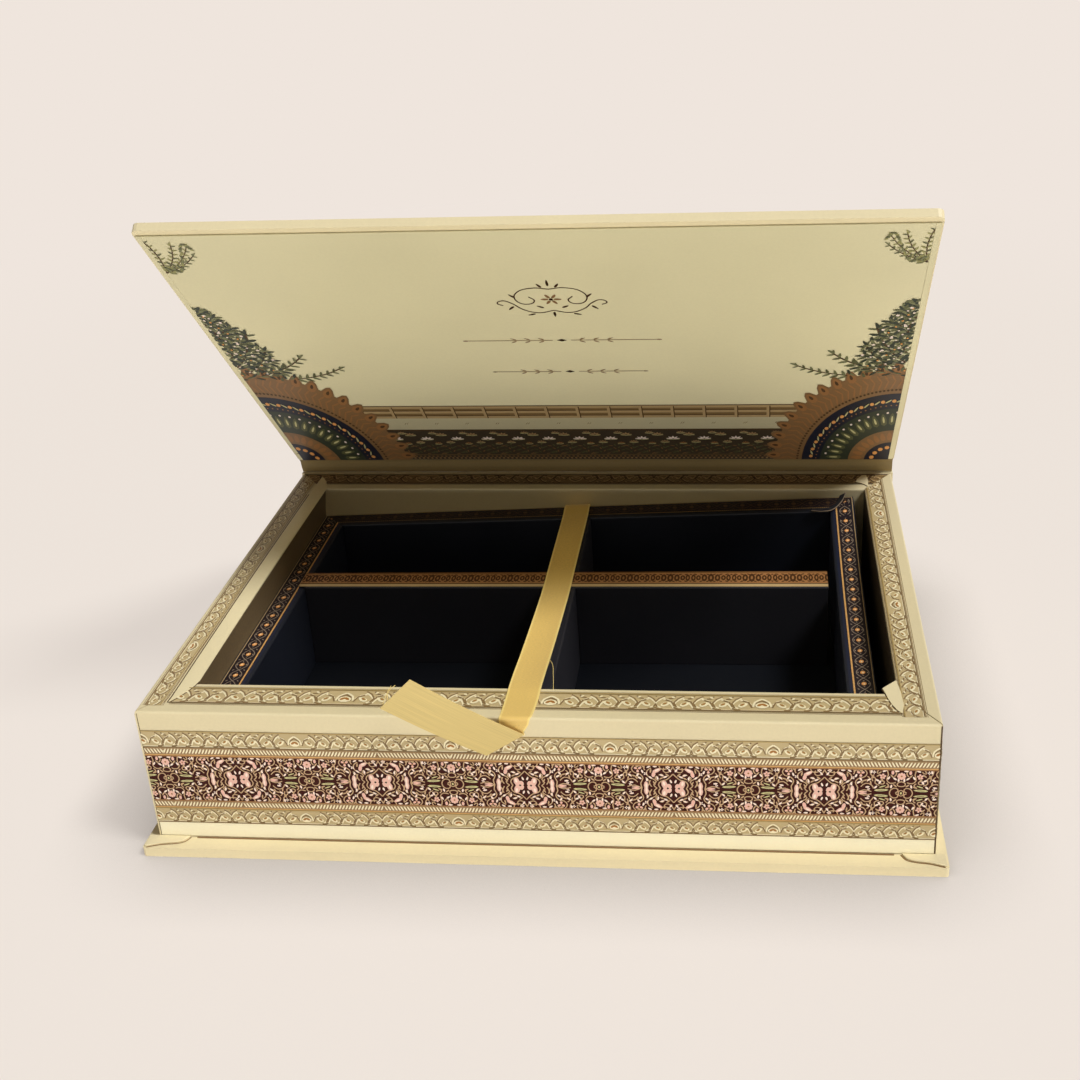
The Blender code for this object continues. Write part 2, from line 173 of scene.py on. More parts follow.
PAPER_GRAIN = make_paper_grain()
print("grain group:", len(PAPER_GRAIN.nodes), "nodes")

# %% [markdown]
# A paper is its own colour through that group, with a shallow bump. A paper may also change tone with its
# height: the lid's lining is painted lighter low down and darker upwards, as painted light and shade.

# %% Papers
FIBRE_SCALE = 900
FIBRE_DEPTH = 0.1 * MM


def apply_painted_tone(tree, colour, low, high, low_tone, high_tone):
    """The colour, multiplied by a tone that runs smoothly from one height to another, which paints light and
    shade into it.
    """
    place = node(tree, "TexCoord").outputs["Object"]
    parts = node(tree, "SeparateXYZ")
    steps = {"From Min": low, "From Max": high, "To Min": low_tone, "To Max": high_tone}
    tone = node(tree, "MapRange", steps, interpolation_type="SMOOTHSTEP")
    tint = node(tree, "VectorMath", operation="SCALE")
    link(tree, (place, parts.inputs[0]), (parts.outputs["Z"], tone.inputs["Value"]),
         (colour, tint.inputs[0]), (tone.outputs["Result"], tint.inputs["Scale"]))
    return tint.outputs[0]


def paper(name, colour, mottle=0.10, specular=0.4, painted_tone=None):
    """A printed or plain paper. The optional tone by height, given as (low, high, tone at low, tone at high),
    paints light and shade into its colour.
    """
    material, tree, shader = new_material(name)
    shader.inputs["Specular IOR Level"].default_value = specular
    grain = node(tree, "Group", {"Colour": colour, "Mottle": mottle, "Fibre Scale": FIBRE_SCALE},
                 node_tree=PAPER_GRAIN)
    relief = node(tree, "Bump", {"Strength": 0.25, "Distance": FIBRE_DEPTH})
    tone = grain.outputs["Colour"]
    if painted_tone:
        tone = apply_painted_tone(tree, tone, *painted_tone)
    link(tree, (tone, shader.inputs["Base Color"]), (grain.outputs["Roughness"], shader.inputs["Roughness"]),
         (grain.outputs["Height"], relief.inputs["Height"]),
         (relief.outputs["Normal"], shader.inputs["Normal"]))
    material.diffuse_color = colour
    return material


CREAM = paper("cream_paper", srgb(233, 219, 178))
TRAY_CREAM = paper("tray_paper", srgb(224, 210, 170))
# The lining is painted lighter near the hinge and darker towards its top, as painted light and shade.
LINER = paper("liner_paper", srgb(234, 225, 182), mottle=0.08, painted_tone=(0.135, 0.23, 1.1, 0.85))
NAVY = paper("navy_paper", srgb(24, 27, 36), mottle=0.25, specular=0.25)
WELL_FLOOR = paper("well_floor_paper", srgb(15, 17, 22), mottle=0.25, specular=0.12)
WALNUT = paper("walnut_paper", srgb(114, 97, 71), mottle=0.5, specular=0.2)
# The right wall's lining is darkened to near black as painted shade.
RIGHT_LINING_PAINTED_SHADE = paper("right_lining_painted_shade_paper", srgb(44, 37, 26), mottle=0.4, specular=0.15)
DIVIDER = paper("divider_paper", srgb(38, 38, 43), mottle=0.3, specular=0.2)
# The inner joint's paper is darkened as painted shade, for the deep shade under the lid's back edge.
JOINT_PAINTED_SHADE = paper("joint_painted_shade_paper", srgb(144, 124, 81), mottle=0.2)
GREY_BOARD = paper("grey_board", srgb(150, 132, 104), mottle=0.3, specular=0.2)
print("papers:", [m.name for m in (CREAM, TRAY_CREAM, LINER, NAVY, WALNUT, GREY_BOARD)])

# %% [markdown]
# Print is drawn as thin shapes that lie on the paper, each in its own flat ink. A pattern drawn this way
# stays sharp at any distance, which a painted picture doesn't. The inks take the same grain as the paper.

# %% Inks
INK_COLOURS = {
    # The cream ink, lighter than the tray's paper, is painted light for the foot of the tray's walls.
    "tan": (196, 175, 129), "cream": (255, 247, 214), "brown": (132, 106, 66), "umber": (84, 62, 40),
    "rust": (172, 112, 52), "maroon": (60, 19, 12), "scroll": (196, 162, 122), "rose": (234, 188, 170),
    "blush": (248, 228, 212), "leaf": (208, 200, 142), "straw": (186, 158, 112), "rope": (166, 134, 92),
    "gold": (232, 178, 108), "dusk": (34, 27, 32), "orange": (236, 166, 92), "ochre": (168, 142, 84),
    "amber": (166, 112, 46), "ash": (150, 132, 112), "ivory": (244, 232, 194), "copper": (160, 112, 66),
    "cocoa": (66, 40, 20), "navy": (24, 28, 44), "indigo": (26, 31, 50), "peat": (62, 52, 38),
    "olive": (94, 96, 62), "stone": (204, 194, 156), "bronze": (138, 104, 66), "bottle": (50, 58, 44),
    "sage": (120, 122, 84), "moss": (150, 146, 92),
}
DULL_INKS = {"umber": 0.2, "maroon": 0.12, "dusk": 0.15, "cocoa": 0.15, "indigo": 0.25}
INK = {name: paper("ink_" + name, srgb(*colour), specular=DULL_INKS.get(name, 0.4))
       for name, colour in INK_COLOURS.items()}
print(len(INK), "inks")

# %% [markdown]
# New pieces come from a mesh or from a drawn curve. Both end as plain meshes at the origin, because the
# export and the materials expect a piece there.

# %% Pieces and curves
def finished_mesh(bm, name, *materials):
    """Turns what was drawn into a mesh with those materials."""
    mesh = bpy.data.meshes.new(name)
    bm.to_mesh(mesh)
    bm.free()
    for material in materials:
        mesh.materials.append(material)
    return mesh


def add_piece(name, data, body=None):
    """Makes a mesh, lamp or camera an object of the scene. A piece may ride on a body of the frame."""
    piece = bpy.data.objects.new(name, data)
    bpy.context.scene.collection.objects.link(piece)
    if body:
        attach(piece, body)
    return piece


def drawn_curve(points, tilt=0.0, **settings):
    """The mesh of a smooth Bezier curve through the points."""
    curve = bpy.data.curves.new("drawn", "CURVE")
    curve.dimensions = "3D"
    for setting, value in settings.items():
        setattr(curve, setting, value)
    spline = curve.splines.new("BEZIER")
    spline.bezier_points.add(len(points) - 1)
    for knot, point in zip(spline.bezier_points, points):
        knot.co = point
        knot.handle_left_type = knot.handle_right_type = "AUTO"
        knot.tilt = tilt
    drawn = bpy.data.objects.new("drawn", curve)
    mesh = bpy.data.meshes.new_from_object(drawn)
    bpy.data.objects.remove(drawn)
    bpy.data.curves.remove(curve)
    return mesh


# %% [markdown]
# A pattern is drawn flat first, in millimetres: u runs along the strip and v across it. Dots and petals are
# circles that are stretched, pinched and turned, and stems are Bezier curves given a width. One cell is
# drawn, mirrored and repeated, its ends are cut off, and a matrix lays the whole strip on the box.

# %% Drawing a print
LAYER = 0.03
FIRST_LAYER = 0.05
BLOCK_CELL = 12


class Print:
    """A flat pattern in millimetres, with one material slot for each ink."""

    def __init__(self):
        self.bm = bmesh.new()
        self.inks = []
        self.count = 0

    def height(self, layer):
        """Height of the next shape. Shapes of one layer still differ a little, so that none coincide."""
        self.count += 1
        return FIRST_LAYER + (layer + (self.count % 16) / 20) * LAYER

    def paint(self, verts, ink):
        if ink not in self.inks:
            self.inks.append(ink)
        for face in {f for v in verts for f in v.link_faces}:
            face.material_index = self.inks.index(ink)

    def shape(self, ink, u, v, length, width, turn=0, pinch=0.0, layer=1, sides=8):
        """A disc, or with pinch a petal whose far end is narrow. turn is in degrees."""
        made = bmesh.ops.create_circle(self.bm, cap_ends=True, segments=sides, radius=0.5)["verts"]
        for vert in made:
            vert.co.y *= 1 - pinch * (vert.co.x + 0.5)
        place = Matrix.Translation((u, v, self.height(layer))) @ Matrix.Rotation(math.radians(turn), 4, "Z")
        bmesh.ops.transform(self.bm, matrix=place @ Matrix.Diagonal((length, width, 1, 1)), verts=made)
        self.paint(made, ink)

    def block(self, ink, low, high, layer=0):
        """A plain rectangle between two corners."""
        long, wide = high[0] - low[0], high[1] - low[1]
        cells = [max(1, round(side / BLOCK_CELL)) for side in (long, wide)]
        made = bmesh.ops.create_grid(self.bm, x_segments=cells[0], y_segments=cells[1], size=0.5)["verts"]
        height = FIRST_LAYER + layer * LAYER
        middle = Matrix.Translation(((low[0] + high[0]) / 2, (low[1] + high[1]) / 2, height))
        bmesh.ops.transform(self.bm, matrix=middle @ Matrix.Diagonal((long, wide, 1, 1)), verts=made)
        self.paint(made, ink)

    def line(self, ink, points, width, layer=1, smooth=3):
        """A drawn line: a smooth curve through the points, laid flat and given a width."""
        height = self.height(layer)
        mesh = drawn_curve([(u, v, height) for u, v in points], math.pi / 2, twist_mode="Z_UP",
                           resolution_u=smooth, extrude=width / 2)
        known = set(self.bm.verts)
        self.bm.from_mesh(mesh)
        self.paint([v for v in self.bm.verts if v not in known], ink)
        bpy.data.meshes.remove(mesh)

    def everything(self):
        return self.bm.verts[:] + self.bm.edges[:] + self.bm.faces[:]

    def copied(self, cell):
        """Copies a part of the pattern, and returns the copy's points."""
        copy = bmesh.ops.duplicate(self.bm, geom=cell)["geom"]
        return [g for g in copy if isinstance(g, bmesh.types.BMVert)]

    def mirror(self, along=True):
        """Adds the pattern's mirror image about u = 0, or about v = 0."""
        flip = (-1, 1, 1) if along else (1, -1, 1)
        bmesh.ops.scale(self.bm, vec=flip, verts=self.copied(self.everything()))

    def repeat(self, pitch, count):
        """Repeats the pattern along u."""
        cell = self.everything()
        for i in range(1, count):
            bmesh.ops.translate(self.bm, vec=(pitch * i, 0, 0), verts=self.copied(cell))

    def move(self, u, v, height=0):
        bmesh.ops.translate(self.bm, vec=(u, v, height), verts=self.bm.verts)

    def stretch(self, u, v):
        bmesh.ops.scale(self.bm, vec=(u, v, 1), verts=self.bm.verts)

    def trim(self, at, outward):
        """Cuts the pattern along a straight line and drops what lies outward."""
        bmesh.ops.bisect_plane(self.bm, geom=self.everything(), plane_co=(*at, 0), plane_no=(*outward, 0),
                               clear_outer=True)

    def clip(self, length):
        """Cuts off what lies before u = 0 and after u = length."""
        self.trim((length, 0), (1, 0))
        self.trim((0, 0), (-1, 0))

    def add(self, other):
        """Takes in another pattern, inks and all, and uses it up."""
        mesh = finished_mesh(other.bm, "strip")
        self.inks += [ink for ink in other.inks if ink not in self.inks]
        moved = [self.inks.index(ink) for ink in other.inks]
        for polygon in mesh.polygons:
            polygon.material_index = moved[polygon.material_index]
        self.bm.from_mesh(mesh)
        bpy.data.meshes.remove(mesh)

    def lay(self, name, matrix, body, rise=None):
        """Makes the pattern an object, laid on the box by a matrix, with its faces to the front.

        rise gives how much higher the surface under it stands at a place x, y.
        """
        self.bm.normal_update()
        for face in self.bm.faces:
            if face.normal.z < 0:
                face.normal_flip()
        bmesh.ops.transform(self.bm, matrix=matrix @ Matrix.Scale(MM, 4), verts=self.bm.verts)
        for vert in self.bm.verts if rise else ():
            vert.co.z += rise(vert.co.x, vert.co.y)
        mesh = finished_mesh(self.bm, name, *[INK[ink] for ink in self.inks])
        print(name, len(mesh.polygons), "faces,", len(self.inks), "inks")
        return add_piece(name, mesh, body)


def polar(radius, angle, u=0.0, v=0.0):
    """The place at a distance and an angle in degrees from u, v."""
    return u + radius * math.cos(math.radians(angle)), v + radius * math.sin(math.radians(angle))


# %% [markdown]
# The light border runs round the rim and twice across the front. Each cell is a cream drop with an amber eye
# between two cream arms, and brown strokes cross above it. Five cells lean to one side of a symmetrical cell
# and five to the other, so one half is drawn at its printed size and mirrored, and the strip is then
# stretched.

# %% Light border
BORDER_CELL, BORDER_TALL, BORDER_RUN = 5.4, 7.7, 11
EYE_LINE = BORDER_TALL * 0.42
LIGHT_INKS = {"ground": "tan", "arm": "ivory", "stroke": "brown", "shade": "ochre", "eye": "amber"}
# Darker copies of the light border's inks: painted shade for the back rim under the open lid.
BACK_RIM_PAINTED_SHADE_INKS = {"ground": "brown", "arm": "straw", "stroke": "umber", "shade": "umber", "eye": "bronze"}
LEANING_ARMS = (((1.2, -2.0), (2.8, -0.4), (2.0, 1.4), (0.3, 3.0)), ((-2.3, 0.0), (-1.2, 1.5), (0.6, 2.2)),
                ((2.9, -2.2), (3.6, -0.6), (4.4, 0.6)))
LEANING_STROKES = (((-2.6, -1.4), (-1.7, 1.0), (0.0, 1.9)), ((0.2, 3.7), (1.9, 2.4), (3.0, 0.4), (2.2, -1.6)),
                   ((2.6, 3.7), (3.4, 2.6), (4.6, 2.4)), ((0.6, -2.6), (2.0, -2.5), (3.0, -1.9)))


def leaning_cell(strip, u, ink):
    """One cell of the light border round u, which leans away from u = 0."""
    v = EYE_LINE
    for points in LEANING_ARMS:
        strip.line(ink["arm"], [(u + a, v + b) for a, b in points], 0.6, 3, smooth=2)
    for points in LEANING_STROKES:
        strip.line(ink["stroke"], [(u + a, v + b) for a, b in points], 0.5, 4, smooth=1)
    strip.shape(ink["arm"], u - 0.1, v - 0.3, 3.2, 2.2, 145, 0.35, layer=5, sides=8)
    strip.shape(ink["shade"], u + 0.1, v - 0.1, 1.8, 1.1, 140, 0.3, layer=6, sides=7)
    strip.shape(ink["eye"], u, v - 0.1, 1.2, 0.6, 140, 0.2, layer=7, sides=6)
    strip.shape(ink["arm"], u + 3.3, v + 3.0, 1.2, 0.7, 30, 0, layer=5, sides=6)


def middle_cell(strip, ink):
    """The symmetrical cell, from which the others lean away."""
    v = EYE_LINE
    for side in (-1, 1):
        arm = [(side * 2.5, v - 1.0), (side * 2.0, v + 1.2), (0, v + 2.8)]
        stroke = [(side * 1.9, v - 1.0), (side * 1.5, v + 0.8), (0, v + 1.9)]
        strip.line(ink["arm"], arm, 0.62, 3, smooth=2)
        strip.line(ink["stroke"], stroke, 0.46, 4, smooth=2)
        strip.shape(ink["eye"], side * 0.6, v - 0.1, 2.0, 1.1, side * -38, 0.2, layer=6, sides=7)
    strip.shape(ink["arm"], 0, v - 0.4, 4.0, 2.8, 0, 0, layer=5, sides=9)


def light_border(length, height, cell, ink=LIGHT_INKS):
    """A strip of the light border, from v = 0 to height, with about cell-long repeats."""
    strip = Print()
    for i in range(1, BORDER_RUN // 2 + 1):
        leaning_cell(strip, i * BORDER_CELL, ink)
    strip.trim((BORDER_RUN / 2 * BORDER_CELL, 0), (1, 0))
    strip.mirror()
    middle_cell(strip, ink)
    count = max(1, round(length / cell))
    strip.repeat(BORDER_RUN * BORDER_CELL, math.ceil(count / BORDER_RUN) + 1)
    strip.stretch(length / count / BORDER_CELL, height / BORDER_TALL)
    for name, low, high, layer in (("ground", 0, 1, 0), ("arm", 0.05, 0.10, 0.5), ("stroke", 0, 0.05, 8),
                                   ("shade", 0.95, 1, 8)):
        strip.block(ink[name], (0, height * low), (length, height * high), layer)
    strip.clip(length)
    return strip


# %% [markdown]
# The rope is a narrow stripe of slanting cream strands. It leans to the right of each leafy knot of the
# flowers beside it, and to the left on its other side.

# %% Rope stripe
FLORAL_CELL, FLORAL_TALL = 56.5, 21.4
STRANDS = 22


def rope_stripe(length, height, start):
    """The rope, whose strands change their lean at u = start and at every floral cell from there."""
    strand = FLORAL_CELL / 2 / STRANDS
    strip = Print()
    strip.shape("ivory", strand * 0.4, height * 0.55, height * 0.72, strand * 0.66, 62, 0.3)
    strip.shape("bronze", strand * 0.92, height * 0.5, height * 0.66, strand * 0.34, 62)
    strip.repeat(strand, STRANDS)
    strip.mirror()
    strip.repeat(FLORAL_CELL, math.ceil(length / FLORAL_CELL) + 2)
    strip.move(start - FLORAL_CELL, 0)
    strip.clip(length)
    strip.block("rope", (0, 0), (length, height))
    strip.block("gold", (0, 0), (length, height * 0.1), layer=1)
    strip.block("brown", (0, height * 0.93), (length, height), layer=1)
    return strip


# %% [markdown]
# The broad maroon border is a traditional row of flowers that is mirrored both ways, so only a quarter of
# one cell is drawn: half of a four-petalled flower at the left, half of a leafy knot at the right, and the
# stems and buds between them.

# %% Floral border
SCROLLS = (
    ((4.9, 0), (5.6, 1.6), (4.6, 3.2), (2.6, 3.9), (1.2, 5.2), (0, 6.6)),
    ((0, 10.0), (0.9, 8.2), (2.4, 7.2), (3.6, 7.9), (3.4, 9.4)),
    ((1.4, 10.6), (2.2, 9.0), (4.6, 8.9), (5.2, 10.4)),
    ((6.2, 0), (7.4, 1.5), (6.4, 3.0), (7.8, 4.3), (9.6, 5.6), (9.8, 7.8), (8.2, 9.2)),
    ((8.2, 0.6), (9.0, 2.4), (8.6, 3.6)),
    ((11.9, 0), (12.3, 2.2), (11.4, 4.4), (12.4, 6.2), (14.6, 7.0), (15.6, 8.8), (14.6, 10.4)),
    ((12.2, 0), (14.6, 1.2), (17.4, 0.5)), ((13.4, 2.6), (15.2, 4.2), (17.4, 3.4), (18.2, 1.9)),
    ((16.6, 10.6), (17.0, 8.2), (18.8, 6.4), (18.6, 4.4), (20.2, 3.4)),
    ((19.8, 10.4), (19.4, 8.8), (20.8, 9.6)),
    ((22.8, 10.6), (23.4, 8.2), (22.9, 5.9), (24.2, 4.4), (26.2, 4.8)),
    ((24.0, 0), (24.6, 1.6), (26.4, 2.2), (27.2, 1.0), (26.2, 0.2)),
    ((28.3, 5.2), (27.0, 4.6), (26.9, 3.4), (28.3, 3.0)), ((10.4, 10.6), (11.0, 9.4), (10.6, 8.2)),
    ((2.0, 5.6), (3.4, 5.3), (4.2, 6.4), (5.4, 6.0)), ((5.6, 3.4), (6.8, 4.6), (6.0, 5.6)),
    ((12.0, 8.9), (12.4, 10.2), (14.0, 9.9)), ((15.6, 5.0), (16.6, 6.4), (15.8, 7.4)),
    ((17.8, 5.2), (17.4, 6.8), (18.2, 8.2)), ((20.6, 5.8), (22.0, 5.0), (21.6, 4.0), (20.4, 4.2)),
    ((25.4, 10.6), (26.4, 8.8), (25.6, 7.4)), ((22.6, 2.4), (23.6, 3.4), (22.8, 4.4)),
    ((9.4, 1.2), (9.0, 3.0), (10.4, 4.8)), ((13.0, 4.4), (13.6, 5.8), (12.8, 6.8)),
)
PETALS = (
    ("rose", 3.3, 1.65, 3.3, 1.7, 78, -0.2), ("rose", 1.5, 1.0, 1.9, 1.2, 60, -0.3),
    ("blush", 3.5, 2.2, 1.6, 0.8, 80, 0.0), ("rose", 10.3, 1.35, 2.9, 1.6, 90, 0.25),
    ("blush", 10.2, 1.2, 2.2, 0.7, 90, 0.2), ("rose", 6.1, 8.1, 3.0, 1.5, 150, 0.25),
    ("rose", 7.3, 6.5, 2.4, 1.4, 102, 0.3), ("blush", 6.0, 8.3, 1.6, 0.6, 150, 0.0),
    ("rose", 14.3, 0.35, 2.6, 0.7, 0, 0.4), ("rose", 25.0, 9.2, 1.5, 0.9, 90, 0.0),
    ("leaf", 21.0, 1.25, 4.3, 0.95, 3, 0.2), ("leaf", 21.4, 2.9, 2.2, 0.5, 20, 0.3),
    ("cocoa", 21.0, 1.25, 3.0, 0.25, 3, 0.0),
)
BUDS = (
    (5.9, 4.7, 80), (1.2, 8.2, 60), (4.4, 6.0, 20), (9.2, 9.7, -30), (11.6, 7.6, 70), (12.6, 4.6, 40),
    (16.4, 5.9, 30), (17.2, 9.6, 80), (19.6, 5.6, -30), (20.4, 4.8, 60), (22.0, 9.9, 20), (23.6, 6.8, 60),
    (25.9, 6.4, -40), (15.9, 2.6, 10), (18.9, 2.6, 50), (26.6, 9.9, 0), (3.0, 5.2, -30), (8.6, 4.9, 40),
    (13.4, 6.0, -60), (24.6, 3.0, 80), (6.8, 9.9, 0), (0.9, 3.2, 70), (27.2, 5.9, 90), (9.9, 3.9, 90),
)
LEAVES = (
    (2.2, 6.2, 40), (8.4, 7.9, 100), (13.4, 9.8, 150), (15.0, 5.6, 20), (17.6, 7.4, 120), (19.8, 7.9, 40),
    (21.2, 6.0, 100), (24.8, 7.6, 130), (4.4, 4.6, 150), (14.0, 4.9, 60), (23.2, 2.6, 20), (25.9, 3.4, 140),
    (7.2, 2.4, 60), (1.9, 9.8, 20), (11.3, 9.9, 40), (17.0, 4.6, 100),
)
FLOWERS = ((13.3, 8.6, 3.0, 3, "rose", 30), (21.4, 7.5, 2.5, 5, "rose", 10),
           (FLORAL_CELL / 2, 7.6, 3.3, 8, "rose", 0), (1.9, 9.6, 1.6, 4, "blush", 0),
           (10.4, 6.6, 1.5, 4, "blush", 45), (16.3, 1.7, 1.2, 4, "blush", 20),
           (18.2, 9.3, 1.4, 4, "blush", 0))
PETAL_GROWTH = 1.25


def flower(strip, u, v, size, petals, ink, turn):
    """A small round flower with a rust-coloured middle."""
    for i in range(petals):
        angle = turn + 360 * i / petals
        place = polar(size * 0.30, angle, u, v)
        strip.shape(ink, *place, size * 0.44, size * 0.30, angle, -0.4, layer=3, sides=6)
    strip.shape("rust", u, v, size * 0.22, size * 0.22, layer=4, sides=6)


def floral_quarter():
    """A quarter of a cell, from the middle of a flower at u = 0 to the middle of a leafy knot."""
    half, tall = FLORAL_CELL / 2, FLORAL_TALL / 2
    strip = Print()
    for points in SCROLLS:
        strip.line("scroll", points, 0.44, 2, smooth=2)
    for ink, u, v, long, wide, turn, pinch in PETALS:
        grown = 1.0 if ink == "cocoa" else PETAL_GROWTH
        layer = 4 if ink in ("blush", "cocoa") else 3
        strip.shape(ink, u, v, long * grown, wide * grown, turn, pinch, layer)
    for place in FLOWERS:
        flower(strip, *place)
    for ink, places, long, wide in (("blush", BUDS, 1.75, 1.0), ("scroll", LEAVES, 2.0, 0.8)):
        for u, v, turn in places:
            strip.shape(ink, u, v, long, wide, turn, 0.4, layer=3, sides=6)
    strip.shape("scroll", half, 0, 2.4, 3.0, layer=3, sides=10)
    strip.shape("maroon", half, 0, 1.6, 2.2, layer=4, sides=10)
    strip.shape("leaf", half, 0, 0.8, 1.2, layer=5, sides=6)
    for at, outward in (((half, 0), (1, 0)), ((0, tall), (0, 1)), ((0, 0), (0, -1))):
        strip.trim(at, outward)
    return strip


def floral_border(length, height, start):
    """The floral strip, with the middle of a leafy knot at u = start."""
    strip = floral_quarter()
    strip.mirror(along=False)
    strip.mirror()
    strip.move(FLORAL_CELL / 2, FLORAL_TALL / 2)
    strip.repeat(FLORAL_CELL, math.ceil(length / FLORAL_CELL) + 2)
    strip.stretch(1, height / FLORAL_TALL)
    strip.move(start - FLORAL_CELL, 0)
    strip.clip(length)
    strip.block("maroon", (0, 0), (length, height))
    for v in (0.0, 0.98):
        strip.block("copper", (0, height * v), (length, height * (v + 0.02)), layer=6)
    return strip


# %% [markdown]
# The tray's outside carries the strips one above the other: light border, rope, flowers, rope and light
# border, with plain paper above and a lighter cream below, printed as painted light against the shade at the
# wall's foot. The same strip of paper runs on round the two sides.

# %% Print on the tray's outside
BANDS = (("light", 8.5, 16.2), ("rope", 16.2, 19.9), ("floral", 19.9, 41.3), ("rope", 41.3, 44.7),
         ("light", 44.7, 51.8))
WALL_LOW = (WALL_FOOT - RIM) / MM + 0.3
OUTSIDE_CELL = 5.5
FIRST_KNOT = 7.7


def wall_print(name, length, matrix):
    """The five strips of a wall, measured down from the rim, on a wall of that length in millimetres."""
    whole = Print()
    for kind, top, bottom in BANDS:
        tall = bottom - top
        if kind == "light":
            strip = light_border(length, tall, OUTSIDE_CELL)
        else:
            strip = (rope_stripe if kind == "rope" else floral_border)(length, tall, FIRST_KNOT)
        strip.move(0, -bottom)
        whole.add(strip)
    # The lighter cream below the strips is painted light, which offsets the shade that the base's lip casts
    # at the wall's foot.
    whole.block("cream", (0, WALL_LOW), (length, -BANDS[-1][2] - 0.1))
    return whole.lay(name, matrix, "box")


def upright(place, turn=0):
    """Stands a print up at a place, with its lower edge along a direction that is turned from X."""
    return Matrix.Translation(place) @ Matrix.Rotation(turn, 4, "Z") @ Matrix.Rotation(math.pi / 2, 4, "X")


EDGE_STRIP, EDGE_LINE = 0.75, 0.55
SIDE_MARGIN = 0.3 * MM
side_length = (BACK - FRONT) / MM - 1
front_length = (RIGHT - LEFT) / MM - EDGE_STRIP - EDGE_LINE
wall_print("print_front", front_length, upright((LEFT + EDGE_STRIP * MM, FRONT, RIM)))
wall_print("print_right", side_length, upright((RIGHT, FRONT + SIDE_MARGIN, RIM), math.pi / 2))
wall_print("print_left", side_length, upright((LEFT, BACK - SIDE_MARGIN, RIM), -math.pi / 2))

# %% [markdown]
# On the rim the light border is wider and lies flat, with thin brown lines beside it. The side strips run on
# over the front corners, where they are cut square, and the two back corners are mitred. The back strip takes
# darker inks as painted shade under the lid.

# %% Print on the rim
RIM_W = {"left": (IN_LEFT - LEFT) / MM, "right": (RIGHT - IN_RIGHT) / MM,
         "front": (IN_FRONT - FRONT) / MM, "back": (BACK - IN_BACK) / MM}
WIDE, DEEP = (RIGHT - LEFT) / MM, (BACK - FRONT) / MM
X, Y = Vector((1, 0, 0)), Vector((0, 1, 0))
FRONT_CUT = 4.4


def lying(corner, along, inward):
    """Lays a print flat, from a corner, with u and v along two directions."""
    return Matrix.Translation(corner) @ Matrix((along, inward, along.cross(inward))).transposed().to_4x4()


def rim_print(side, corner, along, inward, length, band, cell, ends, ink=LIGHT_INKS):
    """The strip on one side of the rim.

    corner is the outer corner where the strip starts, along and inward are directions, and band is where the
    border lies across the rim. Each end is how far in it stops, and the width of the rim that it is mitred
    with, or 0 for a square cut.
    """
    strip = light_border(length, band[1] - band[0], cell, ink)
    strip.move(0, band[0])
    for v in (band[0] - 0.95, band[0] - 0.4, band[1] + 0.25, band[1] + 0.75):
        strip.block(ink["stroke"], (0, v), (length, v + 0.2), layer=1)
    (start, start_mitre), (end, end_mitre) = ends
    strip.trim((start, 0), (-RIM_W[side], start_mitre))
    strip.trim((length - end, 0), (RIM_W[side], end_mitre))
    return strip.lay("print_rim_" + side, lying((*corner, RIM), along, inward), "box")


rim_print("front", (LEFT, FRONT), X, Y, WIDE, (6.3, 16.8), 7.2, ((11.6, 0), (14.2, 0)))
rim_print("right", (RIGHT, FRONT), Y, -X, DEEP, (5.8, 13.4), 8.0, ((FRONT_CUT, 0), (0, RIM_W["back"])))
# The back rim's border is printed in darker inks, as painted shade under the lid.
rim_print("back", (RIGHT, BACK), -X, -Y, WIDE, (2.4, 13.2), 7.2, ((0, RIM_W["right"]), (0, RIM_W["left"])),
          BACK_RIM_PAINTED_SHADE_INKS)
rim_print("left", (LEFT, BACK), -Y, X, DEEP, (2.6, 8.9), 8.0, ((0, RIM_W["back"]), (FRONT_CUT, 0)))

# %% [markdown]
# Inside the tray sits a dark insert with four wells. Its back right corner isn't pushed home, so its ledges
# and dividers rise a little towards that corner, and their print rises with them.

# %% Print on the insert's ledges
WELL = [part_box("insert_wall_left")[0].x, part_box("insert_wall_right")[1].x,
        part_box("insert_wall_front")[0].y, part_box("insert_wall_back")[1].y]
LEDGE_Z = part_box("insert_wall_front")[1].z
CORNER_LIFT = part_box("insert_wall_back")[1].z - LEDGE_Z
PROUD = 0.12
print("corner lift", round(CORNER_LIFT / MM, 1), "mm")


def insert_rise(x, y):
    """How far the insert stands up at a place, above its height at the front left corner."""
    across = (x - WELL[0]) / (WELL[1] - WELL[0])
    along = (y - WELL[2]) / (WELL[3] - WELL[2])
    return CORNER_LIFT * across * along ** 3


